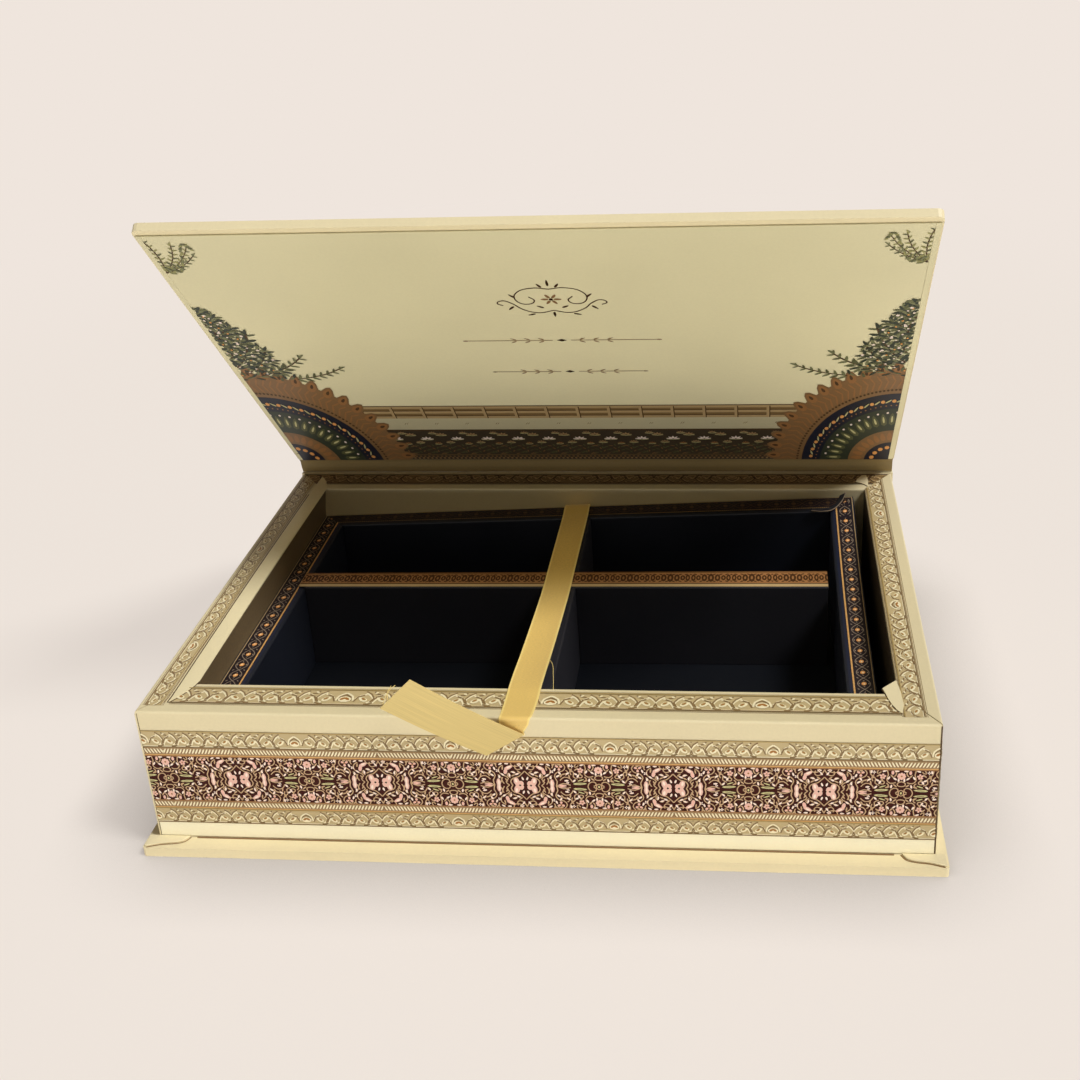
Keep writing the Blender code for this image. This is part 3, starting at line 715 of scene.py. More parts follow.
def ledge_border(length, low, high, cell, dot="orange", scroll="ash", edge="gold"):
    """Dark ground with a row of orange dots between small scrolls, and a gold line on either side."""
    count = max(1, round(length / cell))
    pitch = length / count
    middle, wide = (low + high) / 2, high - low
    strip = Print()
    strip.shape(dot, pitch / 2, middle, 2.5, 2.1, 20, layer=2)
    spark = "ivory" if dot == "orange" else dot
    strip.shape(spark, pitch / 2 - 0.2, middle + 0.1, 1.0, 0.8, 20, layer=3, sides=6)
    for side in (1, -1):
        bow = [(pitch * u, middle + side * wide * v)
               for u, v in ((0, 0), (0.25, 0.26), (0.5, 0.36), (0.75, 0.26), (1, 0))]
        strip.line(scroll, bow, 0.32, 1, smooth=2)
    for side in (-1, 1):
        strip.shape(scroll, pitch * (0.5 + side * 0.25), middle, 1.2, 0.5, side * 30, 0.4, layer=2, sides=6)
        strip.shape(scroll, pitch * 0.02, middle + side * wide * 0.34, 1.2, 0.6, side * 40, 0.3, layer=2,
                    sides=6)
        strip.shape(scroll, pitch * 0.5, middle + side * wide * 0.27, 1.2, 0.5, layer=2, sides=6)
    strip.repeat(pitch, count)
    dash = Print()
    dash.block(edge, (0.1, low - 0.85), (0.9, low - 0.15), layer=1)
    dash.repeat(1.0, math.floor(length))
    strip.add(dash)
    strip.block("dusk", (0, low), (length, high))
    # The indigo strips are the ledge's navy print, made a little bluer to paint the gloss along its inner
    # edge.
    if edge == "gold":
        strip.block("indigo", (0, 0.1), (length, low - 1.05))
        strip.block("indigo", (0, high + 0.7), (length, 10.6))
    strip.block("straw", (0, high + 0.2), (length, high + 0.55), layer=1)
    return strip


def ledge_print(side, corner, along, inward, length, inks=()):
    """A mitred strip on one ledge of the insert, measured from its outer edge."""
    strip = ledge_border(length, 2.5, 9.6, 8.3, *inks)
    strip.stretch(1, -1)
    strip.move(0, 10.8)
    strip.trim((0, 0), (-1, 1))
    strip.trim((length, 0), (1, 1))
    matrix = lying((*corner, LEDGE_Z + PROUD * MM), along, inward)
    return strip.lay("print_ledge_" + side, matrix, "box", insert_rise)


INSERT_WIDE, INSERT_DEEP = (WELL[1] - WELL[0]) / MM, (WELL[3] - WELL[2]) / MM
ledge_print("front", (WELL[0], WELL[2]), X, Y, INSERT_WIDE)
ledge_print("right", (WELL[1], WELL[2]), Y, -X, INSERT_DEEP)
# The back ledge's print takes darker inks, as painted shade under the lid.
ledge_print("back", (WELL[1], WELL[3]), -X, -Y, INSERT_WIDE, ("umber", "umber", "brown"))
ledge_print("left", (WELL[0], WELL[3]), -Y, X, INSERT_DEEP)

# %% [markdown]
# The two dividers carry a copper strip with dark lobed shapes in a chain, and a pale line along one edge.

# %% Print on the dividers
DIVIDER_PITCH = 18.6
LOBES = ((0, 3.0, 7.4), (3.0, 2.7, 6.4), (5.7, 2.3, 4.6), (8.0, 2.2, 6.0))


def divider_border(length, width):
    """The copper strip, with one half of its chain drawn and mirrored."""
    strip = Print()
    middle = width * 0.58
    for u, long, wide in LOBES:
        strip.shape("cocoa", u, middle, long, wide)
        strip.shape("copper", u, middle, long * 0.36, wide * 0.42, layer=2, sides=6)
        for side in (1, -1):
            strip.shape("cocoa", u + 1.5, middle + side * 3.0, 1.9, 1.1, side * 30, 0.3, sides=6)
    strip.clip(DIVIDER_PITCH / 2)
    strip.mirror()
    strip.move(DIVIDER_PITCH * 0.3, 0)
    strip.repeat(DIVIDER_PITCH, math.ceil(length / DIVIDER_PITCH) + 1)
    strip.clip(length)
    for ink, low, high, layer in (("copper", 0.24, 1, 0), ("cocoa", 0.18, 0.24, 0), ("straw", 0, 0.18, 0),
                                  ("cocoa", 0.93, 0.97, 1)):
        strip.block(ink, (0, width * low), (length, width * high), layer)
    return strip


for node_name in ("divider_long", "divider_cross"):
    low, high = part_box(node_name)
    turned = node_name == "divider_cross"
    across, along = sorted(((high.x - low.x) / MM, (high.y - low.y) / MM))
    across -= 1.2
    strip = divider_border(along, across)
    if turned:
        strip.trim((0, 4.4), (-2.1, -along))
        strip.bm.transform(Matrix.Rotation(math.pi / 2, 4, "Z"))
        strip.move(across + 0.6, 0)
    else:
        strip.move(0, 0.6)
    top = LEDGE_Z + (0.9 + PROUD) * MM
    strip.lay("print_" + node_name, Matrix.Translation((low.x, low.y, top)), "box", insert_rise)

# %% [markdown]
# The lid's lining had a one-off picture and words, which a shared part can't carry. In their place it gets a
# generic border of the same colours. Its lowest part, above the joint, is a dark strip with small lotus
# shapes.

# %% Lotus strip
LOTUS_PITCH = 15.4
LOTUSES = ((2.4, 0.84, 5.4, "rope"), (9.8, 0.70, 6.4, "blush"), (13.8, 0.90, 4.0, "rope"),
           (5.6, 0.60, 4.4, "rope"), (14.6, 0.56, 3.6, "copper"))


def lotus(strip, u, v, size, ink):
    """Five petals in a fan, over one bent leaf."""
    for turn in (10, 50, 90, 130, 170):
        across, up = polar(1, turn)
        place = (u + size * 0.30 * across, v + size * 0.26 * up)
        strip.shape(ink, *place, size * 0.52, size * 0.24, turn, 0.5, layer=3, sides=6)
    strip.line("leaf", [(u - size * 0.5, v - 0.4), (u, v - 1.0), (u + size * 0.5, v - 0.4)], 0.5, 2, smooth=2)


def lotus_strip(length, low, high):
    """Dark strip with rows of small pale lotus shapes and a beaded lower edge."""
    strip = Print()
    tall = high - low
    for u, v, size, ink in LOTUSES:
        lotus(strip, u, low + tall * v, size, ink)
    for i in range(28):
        place = ((i * 5.73) % LOTUS_PITCH, low + tall * (0.22 + 0.028 * ((i * 7) % 12)))
        strip.shape("olive" if i % 3 else "bronze", *place, 2.6, 1.1, (i * 47) % 180, 0.4, sides=6)
    for i in range(7):
        strip.block("rope", (0.3 + i * 2.2, low + 1.4), (1.3 + i * 2.2, low + 3.0), layer=2)
        strip.block("bronze", (1.4 + i * 2.2, low + 3.6), (2.4 + i * 2.2, low + 5.2), layer=2)
    strip.repeat(LOTUS_PITCH, math.ceil(length / LOTUS_PITCH))
    strip.trim((length, 0), (1, 0))
    strip.block("peat", (0, low), (length, high))
    strip.block("brown", (0, low + 6.0), (length, low + 6.6), layer=1)
    strip.block("umber", (0, high - 0.9), (length, high), layer=4)
    return strip


# %% [markdown]
# Over the lotus strip lie a plain pale strip and a rail with a post every 15 mm, which end the border
# upwards.

# %% Rail strip
RAIL_PITCH = 15.0


def rail_strip(length, low, high):
    """Two pale rails with posts, over a plain pale strip with small slanting marks."""
    strip = Print()
    step = low + (high - low) * 0.52
    tall = high - step
    strip.block("straw", (0.2, step), (1.5, high), layer=2)
    strip.block("umber", (1.5, step), (2.0, high), layer=2)
    for u in (4.6, 5.6):
        strip.shape("brown", u, low + (step - low) * 0.55, 3.0, 0.35, 62, layer=2, sides=4)
    strip.repeat(RAIL_PITCH, math.ceil(length / RAIL_PITCH))
    strip.trim((length, 0), (1, 0))
    strip.block("stone", (0, low), (length, step))
    strip.block("brown", (0, step), (length, high))
    for at in (0.0, 0.44, 0.86):
        strip.block("straw", (0, step + tall * at), (length, step + tall * (at + 0.2)), layer=1)
        strip.block("umber", (0, step + tall * (at + 0.2)), (length, step + tall * (at + 0.26)), layer=1)
    strip.block("umber", (0, low), (length, low + 0.5), layer=1)
    return strip


# %% [markdown]
# Each lower corner gets a quarter of a rosette: discs of falling size, one on the other, with rings of petals
# and dots. Whole rings aren't needed, so each ring is drawn over a quarter turn only.

# %% Corner rosette
DISCS = ((57, "bronze", 0), (43, "navy", 1), (34, "bottle", 2), (20, "bronze", 3), (12, "navy", 4))
OUTER_RINGS = (("bronze", 57, 13, 9.0, 7.6, 0.5, 1), ("copper", 57, 13, 6.4, 5.0, 0.5, 2),
               ("umber", 57.4, 13, 3.0, 1.8, 0.5, 3))
INNER_RINGS = (("umber", 45.2, 40, 1.2, 1.2, 0, 3), ("orange", 38.6, 12, 2.0, 2.0, 0, 4),
               ("leaf", 38.6, 12, 3.4, 1.0, 0.4, 4, 1.0, 60), ("copper", 36.0, 24, 0.8, 0.8, 0, 4),
               ("olive", 27.4, 11, 8.0, 4.0, 0.6, 4), ("leaf", 27.4, 11, 4.2, 1.2, 0.4, 5),
               ("blush", 31.6, 11, 1.2, 1.2, 0, 5, 1.0), ("copper", 16.2, 8, 5.6, 3.2, 0.5, 5),
               ("orange", 8.6, 4, 2.4, 2.4, 0, 6))
RIBS = 26


def ring(rosette, ink, radius, count, long, wide, pinch, layer, first=0.5, turn=0):
    """A quarter of a ring of petals or dots, the first of which stands first shares of a step in."""
    for i in range(count):
        angle = 90 * (i + first) / count
        rosette.shape(ink, *polar(radius, angle), long, wide, angle + turn, pinch, layer)


def corner_rosette():
    """A quarter rosette round the corner u = 0, v = 0, about 62 mm wide before it is stretched."""
    rosette = Print()
    for radius, ink, layer in DISCS:
        rosette.shape(ink, 0, 0, radius * 2, radius * 2, layer=layer, sides=64)
    for petals in OUTER_RINGS:
        ring(rosette, *petals)
    for i in range(RIBS):
        angle = 90 * (i + 0.5) / RIBS
        for radius, long, lean in ((48.4, 6.2, 24), (52.4, 4.6, -24)):
            rosette.shape("copper", *polar(radius, angle), long, 1.0, angle + lean, 0.3, layer=2, sides=6)
    for petals in INNER_RINGS:
        ring(rosette, *petals)
    rosette.trim((0, 0), (-1, 0))
    rosette.trim((0, 0), (0, -1))
    return rosette


# %% [markdown]
# Leaf sprays fill the sides above the rosettes. A spray is one bent stem with pairs of leaves that shrink
# towards its tip.

# %% Leaf spray
def leaf_spray(ink, root, length, lean, size, pairs, layer=2):
    """A curved stem with pairs of leaves along it and one at its tip."""
    spray = Print()
    bend = [(0, 0), (length * 0.35, length * 0.05), (length * 0.7, length * 0.16), (length, length * 0.32)]
    spray.line("umber", bend, size * 0.14, layer, smooth=4)
    for i in range(pairs):
        share = (i + 0.6) / pairs
        u, v = length * share, length * 0.32 * share ** 1.8
        grown = size * (1.05 - 0.45 * share)
        for side in (-1, 1):
            spray.shape(ink if (i + side) % 3 else "olive", u + grown * 0.25, v + side * grown * 0.42, grown,
                        grown * 0.42, side * 55 + 15, 0.5, layer + 1, 7)
    spray.shape(ink, length * 1.02, length * 0.34, size * 0.7, size * 0.3, 25, 0.5, layer + 1, 7)
    spray.bm.transform(Matrix.Rotation(math.radians(lean), 4, "Z"))
    spray.move(*root)
    return spray


# %% [markdown]
# Rosette, sprays, scattered leaves and small blossoms are gathered for one side of the lid, and mirrored.
# Leaves are scattered by multiples of the golden ratio, which look random and come out the same each time.

# %% Side of the lining
GOLDEN = 0.618
SPRAYS = (("sage", (1.0, 112), 27, 62, 7.5, 7), ("bottle", (6, 100), 24, 40, 7.0, 6),
          ("bottle", (2.0, 122), 24, 78, 7.0, 6, 3), ("sage", (14, 98), 24, 22, 6.0, 6),
          ("bottle", (1.0, 104), 34, 48, 7.0, 8, 4), ("sage", (24, 92), 26, 6, 5.0, 7),
          ("moss", (0.4, 186), 23, 74, 3.4, 8), ("moss", (0.4, 186), 22, 48, 3.4, 8),
          ("sage", (0.4, 186), 20, 22, 3.2, 7), ("moss", (0.4, 186), 24, 34, 3.0, 9))
BLOSSOMS = ((5, 118), (9, 127), (4, 137), (12, 116), (16, 121), (8, 146), (3, 152), (20, 112), (13, 134))
BUSH_FOOT, BUSH_TALL, BUSH_WIDE, BUSH_LEAVES = 92, 66, 24, 150
TOP_FOOT, TOP_WIDE, TOP_LEAVES = 190, 17, 36
BERRIES = 34


def side_of_lining():
    """The art up one side of the lining, from its lower corner at u = 0, v = 0."""
    art = corner_rosette()
    art.stretch(1.0, 1.72)
    art.move(0, 0.2)
    for spray in SPRAYS:
        art.add(leaf_spray(*spray))
    for i in range(BUSH_LEAVES):
        share = (i + 0.5) / BUSH_LEAVES
        reach = BUSH_WIDE * (1 - share) ** 0.7 + 3
        u = reach * ((i * GOLDEN) % 1) ** 0.8
        ink = ("bottle", "olive", "bottle", "sage")[i % 4]
        v = BUSH_FOOT + BUSH_TALL * share
        art.shape(ink, u, v, 4.6, 2.0, (i * 77) % 360, 0.5, layer=5 + i % 3, sides=6)
    for i in range(TOP_LEAVES):
        reach = ((i * GOLDEN) % 1) ** 0.7
        v = TOP_FOOT + 12 * reach + 7 * math.sin(i * 2.4)
        ink = ("moss", "sage", "olive")[i % 3]
        art.shape(ink, TOP_WIDE * reach + 0.5, v, 2.0, 1.1, (i * 67) % 360, 0.4, layer=5 + i % 3, sides=6)
    for i in range(BERRIES):
        v = 96 + 56 * (i + 0.5) / BERRIES
        u = 22 * (1 - (v - BUSH_FOOT) / 72) * ((i * GOLDEN) % 1) + 0.8
        art.shape("blush" if i % 3 else "orange", u, v, 1.1, 1.1, layer=9, sides=6)
    for u, v in BLOSSOMS:
        art.shape("blush", u, v, 1.6, 1.6, layer=10, sides=7)
    art.trim((0, 0), (-1, 0))
    return art


# %% [markdown]
# Where the monogram and the words stood there is only a small flourish of scrolls and leaves, in the same
# brown, as such boxes have from stock.

# %% Flourish on the lining
SCROLL_LINES = (((0, 9.6), (6.4, 10.6), (13.2, 7.4), (14.6, 1.2), (10.6, -2.2), (7.0, 0.4), (9.0, 3.8)),
                ((0, -7.4), (6.6, -9.2), (13.0, -6.0), (16.6, -1.4), (20.4, 0.8), (22.6, -1.2), (20.4, -3.0)))
SCROLL_LEAVES = ((0, 14.4, 5.0, 90), (0, -10.6, 4.2, -90), (15.8, 4.4, 4.0, 50), (17.4, -5.2, 4.0, -50),
                 (9.6, -10.6, 3.6, -20), (3.6, 12.4, 3.6, 60), (5.2, -4.4, 3.4, 30))


def stock_flourish():
    """The flourish and the two thin rules under it, round u = 0, v = 0."""
    flourish = Print()
    for points in SCROLL_LINES:
        flourish.line("cocoa", points, 0.6, 1, smooth=6)
    for u, v, long, turn in SCROLL_LEAVES:
        flourish.shape("cocoa", u, v, long, 1.5, turn, 0.5)
    for turn in range(0, 360, 60):
        flourish.shape("bronze", *polar(2.7, turn, 0, 1.6), 3.4, 1.7, turn, 0.4, layer=2)
    flourish.shape("cocoa", 0, 1.6, 1.8, 1.8, layer=4)
    for v, long in ((-33, 42), (-62, 34)):
        flourish.line("bronze", [(4, v), (long, v)], 0.5, 1, smooth=1)
        flourish.shape("cocoa", 0, v, 4.4, 2.2, sides=4)
        flourish.shape("bronze", long, v, 2.4, 1.2, 0, 0.3, layer=2)
        for u in (9, 15, 21):
            for side in (1, -1):
                flourish.shape("bronze", u, v + side * 1.3, 3.0, 1.0, side * 30, 0.5, layer=2)
    flourish.mirror()
    return flourish


# %% [markdown]
# The parts of the lining's print are put together with their origin at the middle of its lower edge, and
# laid on the lid from there.

# %% Print on the lid's lining
liner_wide = (LINER_HIGH.x - LINER_LOW.x) / MM
liner_print = Print()
# The lotus strip is print. It runs down to the lining's lower edge, where its dark ground also paints the
# shade above the joint.
for part in (lotus_strip(liner_wide, 0.2, 36.4), rail_strip(liner_wide, 36.4, 62.0)):
    liner_print.add(part)
liner_print.move(-liner_wide / 2, 0)
side_art = side_of_lining()
side_art.move(-liner_wide / 2, 0, 4 * LAYER)
side_art.mirror()
liner_print.add(side_art)
flourish = stock_flourish()
flourish.move(2, 160)
liner_print.add(flourish)
under_lid = Matrix.Translation((0, LINER_HIGH.y, LINER_LOW.z)) @ Matrix.Rotation(math.pi, 4, "X")
liner_print.lay("print_lid_lining", TO_LID @ under_lid, "lid")

# %% [markdown]
# The frame's own boards and walls keep their shape, which is right, and only change their paper.

# %% Papers on the frame's own pieces
SIDES = ("front", "back", "left", "right")
CORNERS = ("front_left", "front_right", "back_left", "back_right")
COVERS = {
    CREAM: ("base_wrap", "spine_wrap", "lid_wrap"),
    TRAY_CREAM: ["tray_wall_" + side for side in SIDES] + ["corner_tab_" + corner for corner in CORNERS],
    LINER: ("lid_liner",),
    WELL_FLOOR: ("tray_floor", "insert_floor"),
    NAVY: ["insert_wall_" + side for side in SIDES],
    DIVIDER: ("divider_long", "divider_cross"),
    GREY_BOARD: ("base_board", "spine_board", "lid_board"),
}
for cover, names in COVERS.items():
    for name in names:
        frame["nodes"][name].data.materials.clear()
        frame["nodes"][name].data.materials.append(cover)
print("covered", sum(len(names) for names in COVERS.values()), "pieces")

# %% [markdown]
# Loose paper and ribbon follow soft curves. A row of points is turned into one smooth path, which a flat
# grid is then bent along.

# %% Bending a strip
SHARP_EDGE = math.radians(50)


def smooth_path(points, steps):
    """A smooth path through all the points, with the given number of steps between each pair."""
    path = []
    for i in range(len(points) - 1):
        before, after = points[max(0, i - 1)], points[min(len(points) - 1, i + 2)]
        here, there = points[i], points[i + 1]
        reach = (there - here).length / 3
        lead = (there - before).normalized() * reach
        trail = (after - here).normalized() * reach
        for s in range(steps):
            t = s / steps
            a, b, c, d = here, here + lead, there - trail, there
            path.append(a * (1 - t) ** 3 + b * 3 * t * (1 - t) ** 2 + c * 3 * t * t * (1 - t) + d * t ** 3)
    return path + [points[-1]]


def bent_strip(name, left, right, across, thickness, material, body=None, shape=None):
    """A strip drawn between two paths of equal length, given a thickness in mm."""
    rows = len(left) - 1
    bm = bmesh.new()
    bm.loops.layers.uv.new("along")
    bmesh.ops.create_grid(bm, x_segments=across, y_segments=rows, size=0.5, calc_uvs=True)
    for vert in bm.verts:
        share = vert.co.x + 0.5
        row = round((vert.co.y + 0.5) * rows)
        vert.co = left[row].lerp(right[row], share)
        if shape:
            vert.co += shape(row / rows, share)
    bmesh.ops.recalc_face_normals(bm, faces=bm.faces)
    bmesh.ops.solidify(bm, geom=bm.faces[:], thickness=thickness * MM)
    bmesh.ops.recalc_face_normals(bm, faces=bm.faces)
    mesh = finished_mesh(bm, name, material)
    mesh.shade_smooth()
    mesh.set_sharp_from_angle(angle=SHARP_EDGE)
    print(name, len(mesh.polygons), "faces")
    return add_piece(name, mesh, body)


# %% [markdown]
# The lid turns on paper alone: one strip outside, from the spine to the lid's back edge, and one inside,
# from the spine's top to the lid's lining.

# %% Paper joint
def on_spine(y, z):
    """A place in the joint, in mm from the hinge axis, on the spine's side."""
    return HINGE + Vector((0, y, z)) * MM


def on_lid(y, z):
    """A place in the joint, given closed and in mm from the hinge axis, turned open with the lid."""
    return TO_LID @ on_spine(y, z)


JOINT_HALF = (LID_HIGH.x - LID_LOW.x) / 2 - 0.4 * MM
EDGE_Y = (LID_HIGH.y - HINGE.y) / MM
JOINTS = {
    "joint_outside": (CREAM, on_spine(-1.2, 0.25), on_spine(-0.35, 0.5), on_spine(-0.5, 3.2),
                      on_lid(EDGE_Y + 0.5, 3.6), on_lid(EDGE_Y + 0.45, 5.2)),
    # The inner strip's darkened paper is painted shade.
    "joint_inside": (JOINT_PAINTED_SHADE, on_spine(-1.6, 0.25), on_spine(-2.3, 0.6), on_spine(-3.6, 3.6),
                     on_lid(EDGE_Y + 0.1, 1.5), on_lid(EDGE_Y - 2.6, 1.65)),
}
for name, (cover, *points) in JOINTS.items():
    path = smooth_path(points, 5)
    ends = [[Vector((x, p.y, p.z)) for p in path] for x in (-JOINT_HALF, JOINT_HALF)]
    joint = bent_strip(name, *ends, 12, 0.25, cover)
    if name == "joint_outside":
        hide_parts("hinge_strip")
    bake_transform(joint)

# %% [markdown]
# The ribbon lifts the insert out. One side is satin, with a bright woven edge, and the other, which the tail
# shows, is dull and finely ribbed. Both are noise that is stretched along or across the strip's own UV map,
# so the ribs follow every bend.

# %% Ribbon finish
def ribbon_finish(name, colour, edge_colour, rib_scale, rough, sheen):
    """Woven stuff with edges of another colour. rib_scale is how densely its ribs run each way."""
    material, tree, shader = new_material(name)
    shader.inputs["Sheen Weight"].default_value = sheen
    shader.inputs["Specular IOR Level"].default_value = 0.4
    place = node(tree, "UVMap", uv_map="along").outputs["UV"]
    parts = node(tree, "SeparateXYZ")
    edge = node(tree, "Math", {1: 0.5}, operation="PINGPONG")
    band = node(tree, "MapRange", {"From Min": 0.045, "From Max": 0.075, "To Min": 1.0, "To Max": 0.0})
    stretch = node(tree, "Mapping", {"Scale": rib_scale})
    ribs = node(tree, "TexNoise", {"Scale": 1.0, "Detail": 2.0})
    tone = node(tree, "MapRange", {"From Min": 0.3, "From Max": 0.7, "To Min": 0.9, "To Max": 1.07})
    mixed = node(tree, "Mix", {"A": colour, "B": edge_colour}, data_type="RGBA")
    tint = node(tree, "VectorMath", operation="SCALE")
    gloss = node(tree, "MapRange", {"To Min": rough - 0.06, "To Max": rough + 0.06})
    relief = node(tree, "Bump", {"Strength": 0.5, "Distance": FIBRE_DEPTH})
    link(tree, (place, parts.inputs[0]), (parts.outputs["X"], edge.inputs[0]),
         (edge.outputs[0], band.inputs["Value"]),
         (place, stretch.inputs["Vector"]), (stretch.outputs[0], ribs.inputs["Vector"]),
         (ribs.outputs["Fac"], tone.inputs["Value"]), (band.outputs["Result"], mixed.inputs["Factor"]),
         (mixed.outputs["Result"], tint.inputs[0]), (tone.outputs["Result"], tint.inputs["Scale"]),
         (tint.outputs[0], shader.inputs["Base Color"]), (ribs.outputs["Fac"], gloss.inputs["Value"]),
         (gloss.outputs["Result"], shader.inputs["Roughness"]),
         (ribs.outputs["Fac"], relief.inputs["Height"]), (relief.outputs["Normal"], shader.inputs["Normal"]))
    return material


SATIN = ribbon_finish("ribbon_satin", srgb(232, 196, 110), srgb(250, 222, 136), (14, 900, 1), 0.36, 0.25)
RIBBED = ribbon_finish("ribbon_ribbed", srgb(216, 192, 124), srgb(216, 192, 124), (60, 12, 1), 0.62, 0.1)
print("ribbon:", SATIN.name, "and", RIBBED.name)

# %% [markdown]
# The ribbon lies over the insert's back ledge and the long divider, hangs a little between the divider and
# the front rim, and bends over the rim's edge. It is given as pairs of points, one on each of its edges.

# %% Level part of the ribbon
RIBBON_W = 12.7
FACE_OUT = 0.45
RIBBON_LIFT = 0.75


def ribbon_pair(x, y, z):
    """Left and right edge of the ribbon where it lies level: x and y in mm from the tray's front middle."""
    return [Vector((x + side * RIBBON_W / 2, y, 0)) * MM + Vector((0, FRONT, z)) for side in (-1, 1)]


def resting(x, y):
    """Both edges of the ribbon where it lies on the insert."""
    pair = ribbon_pair(x, y, LEDGE_Z + 0.9 * MM)
    return [p + Vector((0, 0, RIBBON_LIFT * MM + insert_rise(p.x, p.y))) for p in pair]


def on_face(x, drop):
    """A place on the tray's front face, drop mm below the rim."""
    return Vector((x * MM, FRONT - FACE_OUT * MM, RIM - drop * MM))


back_end = [p - Vector((0, -0.4, 5.0)) * MM for p in resting(-4.9, 200.4)]
leg = [back_end, resting(-4.9, 199.6), resting(-5.0, 189), resting(-5.7, 137), resting(-5.7, 123)]
over_rim = ribbon_pair(-3.9, 20.5, RIM + 0.5 * MM)
for share in (0.35, 0.7):
    sag = Vector((0, 0, -1.2 * MM * math.sin(math.pi * share)))
    leg.append([a.lerp(b, share) + sag for a, b in zip(leg[4], over_rim)])
leg += [over_rim, ribbon_pair(-4.0, 10, RIM + 0.42 * MM), ribbon_pair(-4.2, 1.6, RIM + 0.42 * MM),
        ribbon_pair(-4.5, -0.2, RIM - 0.25 * MM), [on_face(-10.9, 2.6), on_face(0.2, 2.8)]]
leg[-3][1].x -= 0.5 * MM
leg[-2][1].x -= 0.9 * MM
print("ribbon's level part:", len(leg), "pairs")

# %% [markdown]
# On the front face the ribbon folds over along a slanting line. The fold is half a turn round a small radius,
# towards the front, which leaves its dull side outside.

# %% Fold of the ribbon
FOLD_RADIUS = 0.45
FOLD_STEPS = 6
fold_left, fold_right = on_face(-16.9, 16.0), on_face(-1.9, 6.3)
fold_line = (fold_right - fold_left).normalized()
fold_away = Vector((fold_line.z, 0, -fold_line.x))
fold = []
for step in range(FOLD_STEPS + 1):
    turn = math.pi * step / FOLD_STEPS
    shift = fold_away * FOLD_RADIUS * MM * math.sin(turn)
    shift += Vector((0, FOLD_RADIUS * MM, 0)) * (math.cos(turn) - 1)
    fold.append((fold_left + shift, fold_right + shift))
print("fold turned over", [round(v / MM, 1) for v in fold[-1][0] - fold_left], "mm")

# %% [markdown]
# From the fold a free tail rises to the left. It leans the more the further it reaches, and its middle
# bellies forward.

# %% Tail of the ribbon
TAIL_LEAN = 0.13
TAIL_STEPS = 12


def tail_point(x, rise, root):
    """The tail's end, x and rise in mm, for the edge that starts at the root."""
    reach = Vector((x * MM, root.y, RIM + rise * MM)) - root
    return root + reach + Vector((0, TAIL_LEAN * reach.dot(fold_away), 0))


low_root, top_root = fold[-1]
low_end, top_end = tail_point(-53.7, 7.8, low_root), tail_point(-41.0, 20.8, top_root)
tail = []
for step in range(1, TAIL_STEPS + 1):
    share = step / TAIL_STEPS
    belly = Vector((0, -0.9 * MM, 0)) * math.sin(math.pi * share)
    tail.append((low_root.lerp(low_end, share) + belly, top_root.lerp(top_end, share) + belly))
print("tail ends", [round((end.z - RIM) / MM, 1) for end in (low_end, top_end)], "mm over the rim")

# %% [markdown]
# One long strip follows all three parts. Its faces after the middle of the fold show the dull side.

# %% Ribbon
ends = [smooth_path([pair[side] for pair in leg], 6) for side in (0, 1)]
left, right = [ends[side] + [pair[side] for pair in fold + tail] for side in (0, 1)]
leg_rows = len(ends[0]) + FOLD_STEPS // 2
FREE_FROM, FREE_TO = 0.30, 0.46
CUP_HEIGHT = 0.5


def cupped(along, share):
    """The leg's edges stand up a little where it hangs free between the divider and the rim."""
    free = max(0.0, min(1.0, (along - FREE_FROM) / 0.08) - max(0.0, (along - FREE_TO) / 0.06))
    return Vector((0, 0, CUP_HEIGHT * MM * free * (2 * share - 1) ** 2))


ribbon = bent_strip("lift_ribbon_satin", left, right, 8, 0.25, SATIN, "box", cupped)
ribbon.data.materials.append(RIBBED)
rows = len(left) - 1
uv = ribbon.data.uv_layers["along"].data
for face in ribbon.data.polygons:
    along = sum(uv[i].uv.y for i in face.loop_indices) / face.loop_total
    face.material_index = 1 if along * rows > leg_rows else 0
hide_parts("lift_ribbon")
length = sum((a - b).length for a, b in zip(left, left[1:]))
print("ribbon", round(length / MM), "mm along its left edge")

# %% [markdown]
# The ribbon was cut with scissors, so its warp has begun to fray: two threads stand up at the end of the tail
# and one hangs from its edge over the front right well. Each is a thin tube along a curve.

# %% Loose threads
THREAD_RADIUS = 0.11
THREADS = {
    "thread_edge": ((1.9, 45.0, -2.6), (3.4, 42.5, -3.0), (4.6, 36.0, -4.6), (5.4, 29.0, -7.4),
                    (5.9, 23.5, -11.0)),
    "thread_tail": ((-52.6, -6.0, 9.0), (-51.6, -6.2, 11.4), (-50.4, -6.2, 14.2), (-48.6, -6.0, 17.2)),
    "thread_tail_short": ((-50.6, -6.0, 11.0), (-50.2, -6.3, 13.6), (-48.9, -6.4, 16.0), (-46.9, -6.2, 17.6)),
}


def thread(name, points):
    """One loose thread through points in mm from the tray's front middle, at the rim's height."""
    places = [(x * MM, FRONT + y * MM, RIM + z * MM) for x, y, z in points]
    mesh = drawn_curve(places, bevel_depth=THREAD_RADIUS * MM, bevel_resolution=1, resolution_u=5)
    mesh.materials.append(SATIN)
    return add_piece(name, mesh, "box")


fringe = [thread(name, points) for name, points in THREADS.items()]
print(len(fringe), "threads")

# %% [markdown]
# Small loose pieces of paper are cut flat from an outline and given a thickness and soft edges. Where one is
# curled or sags, its points are then moved, so the outline is filled with short edges first.

# %% Cutting a paper piece
LONGEST_EDGE = 4


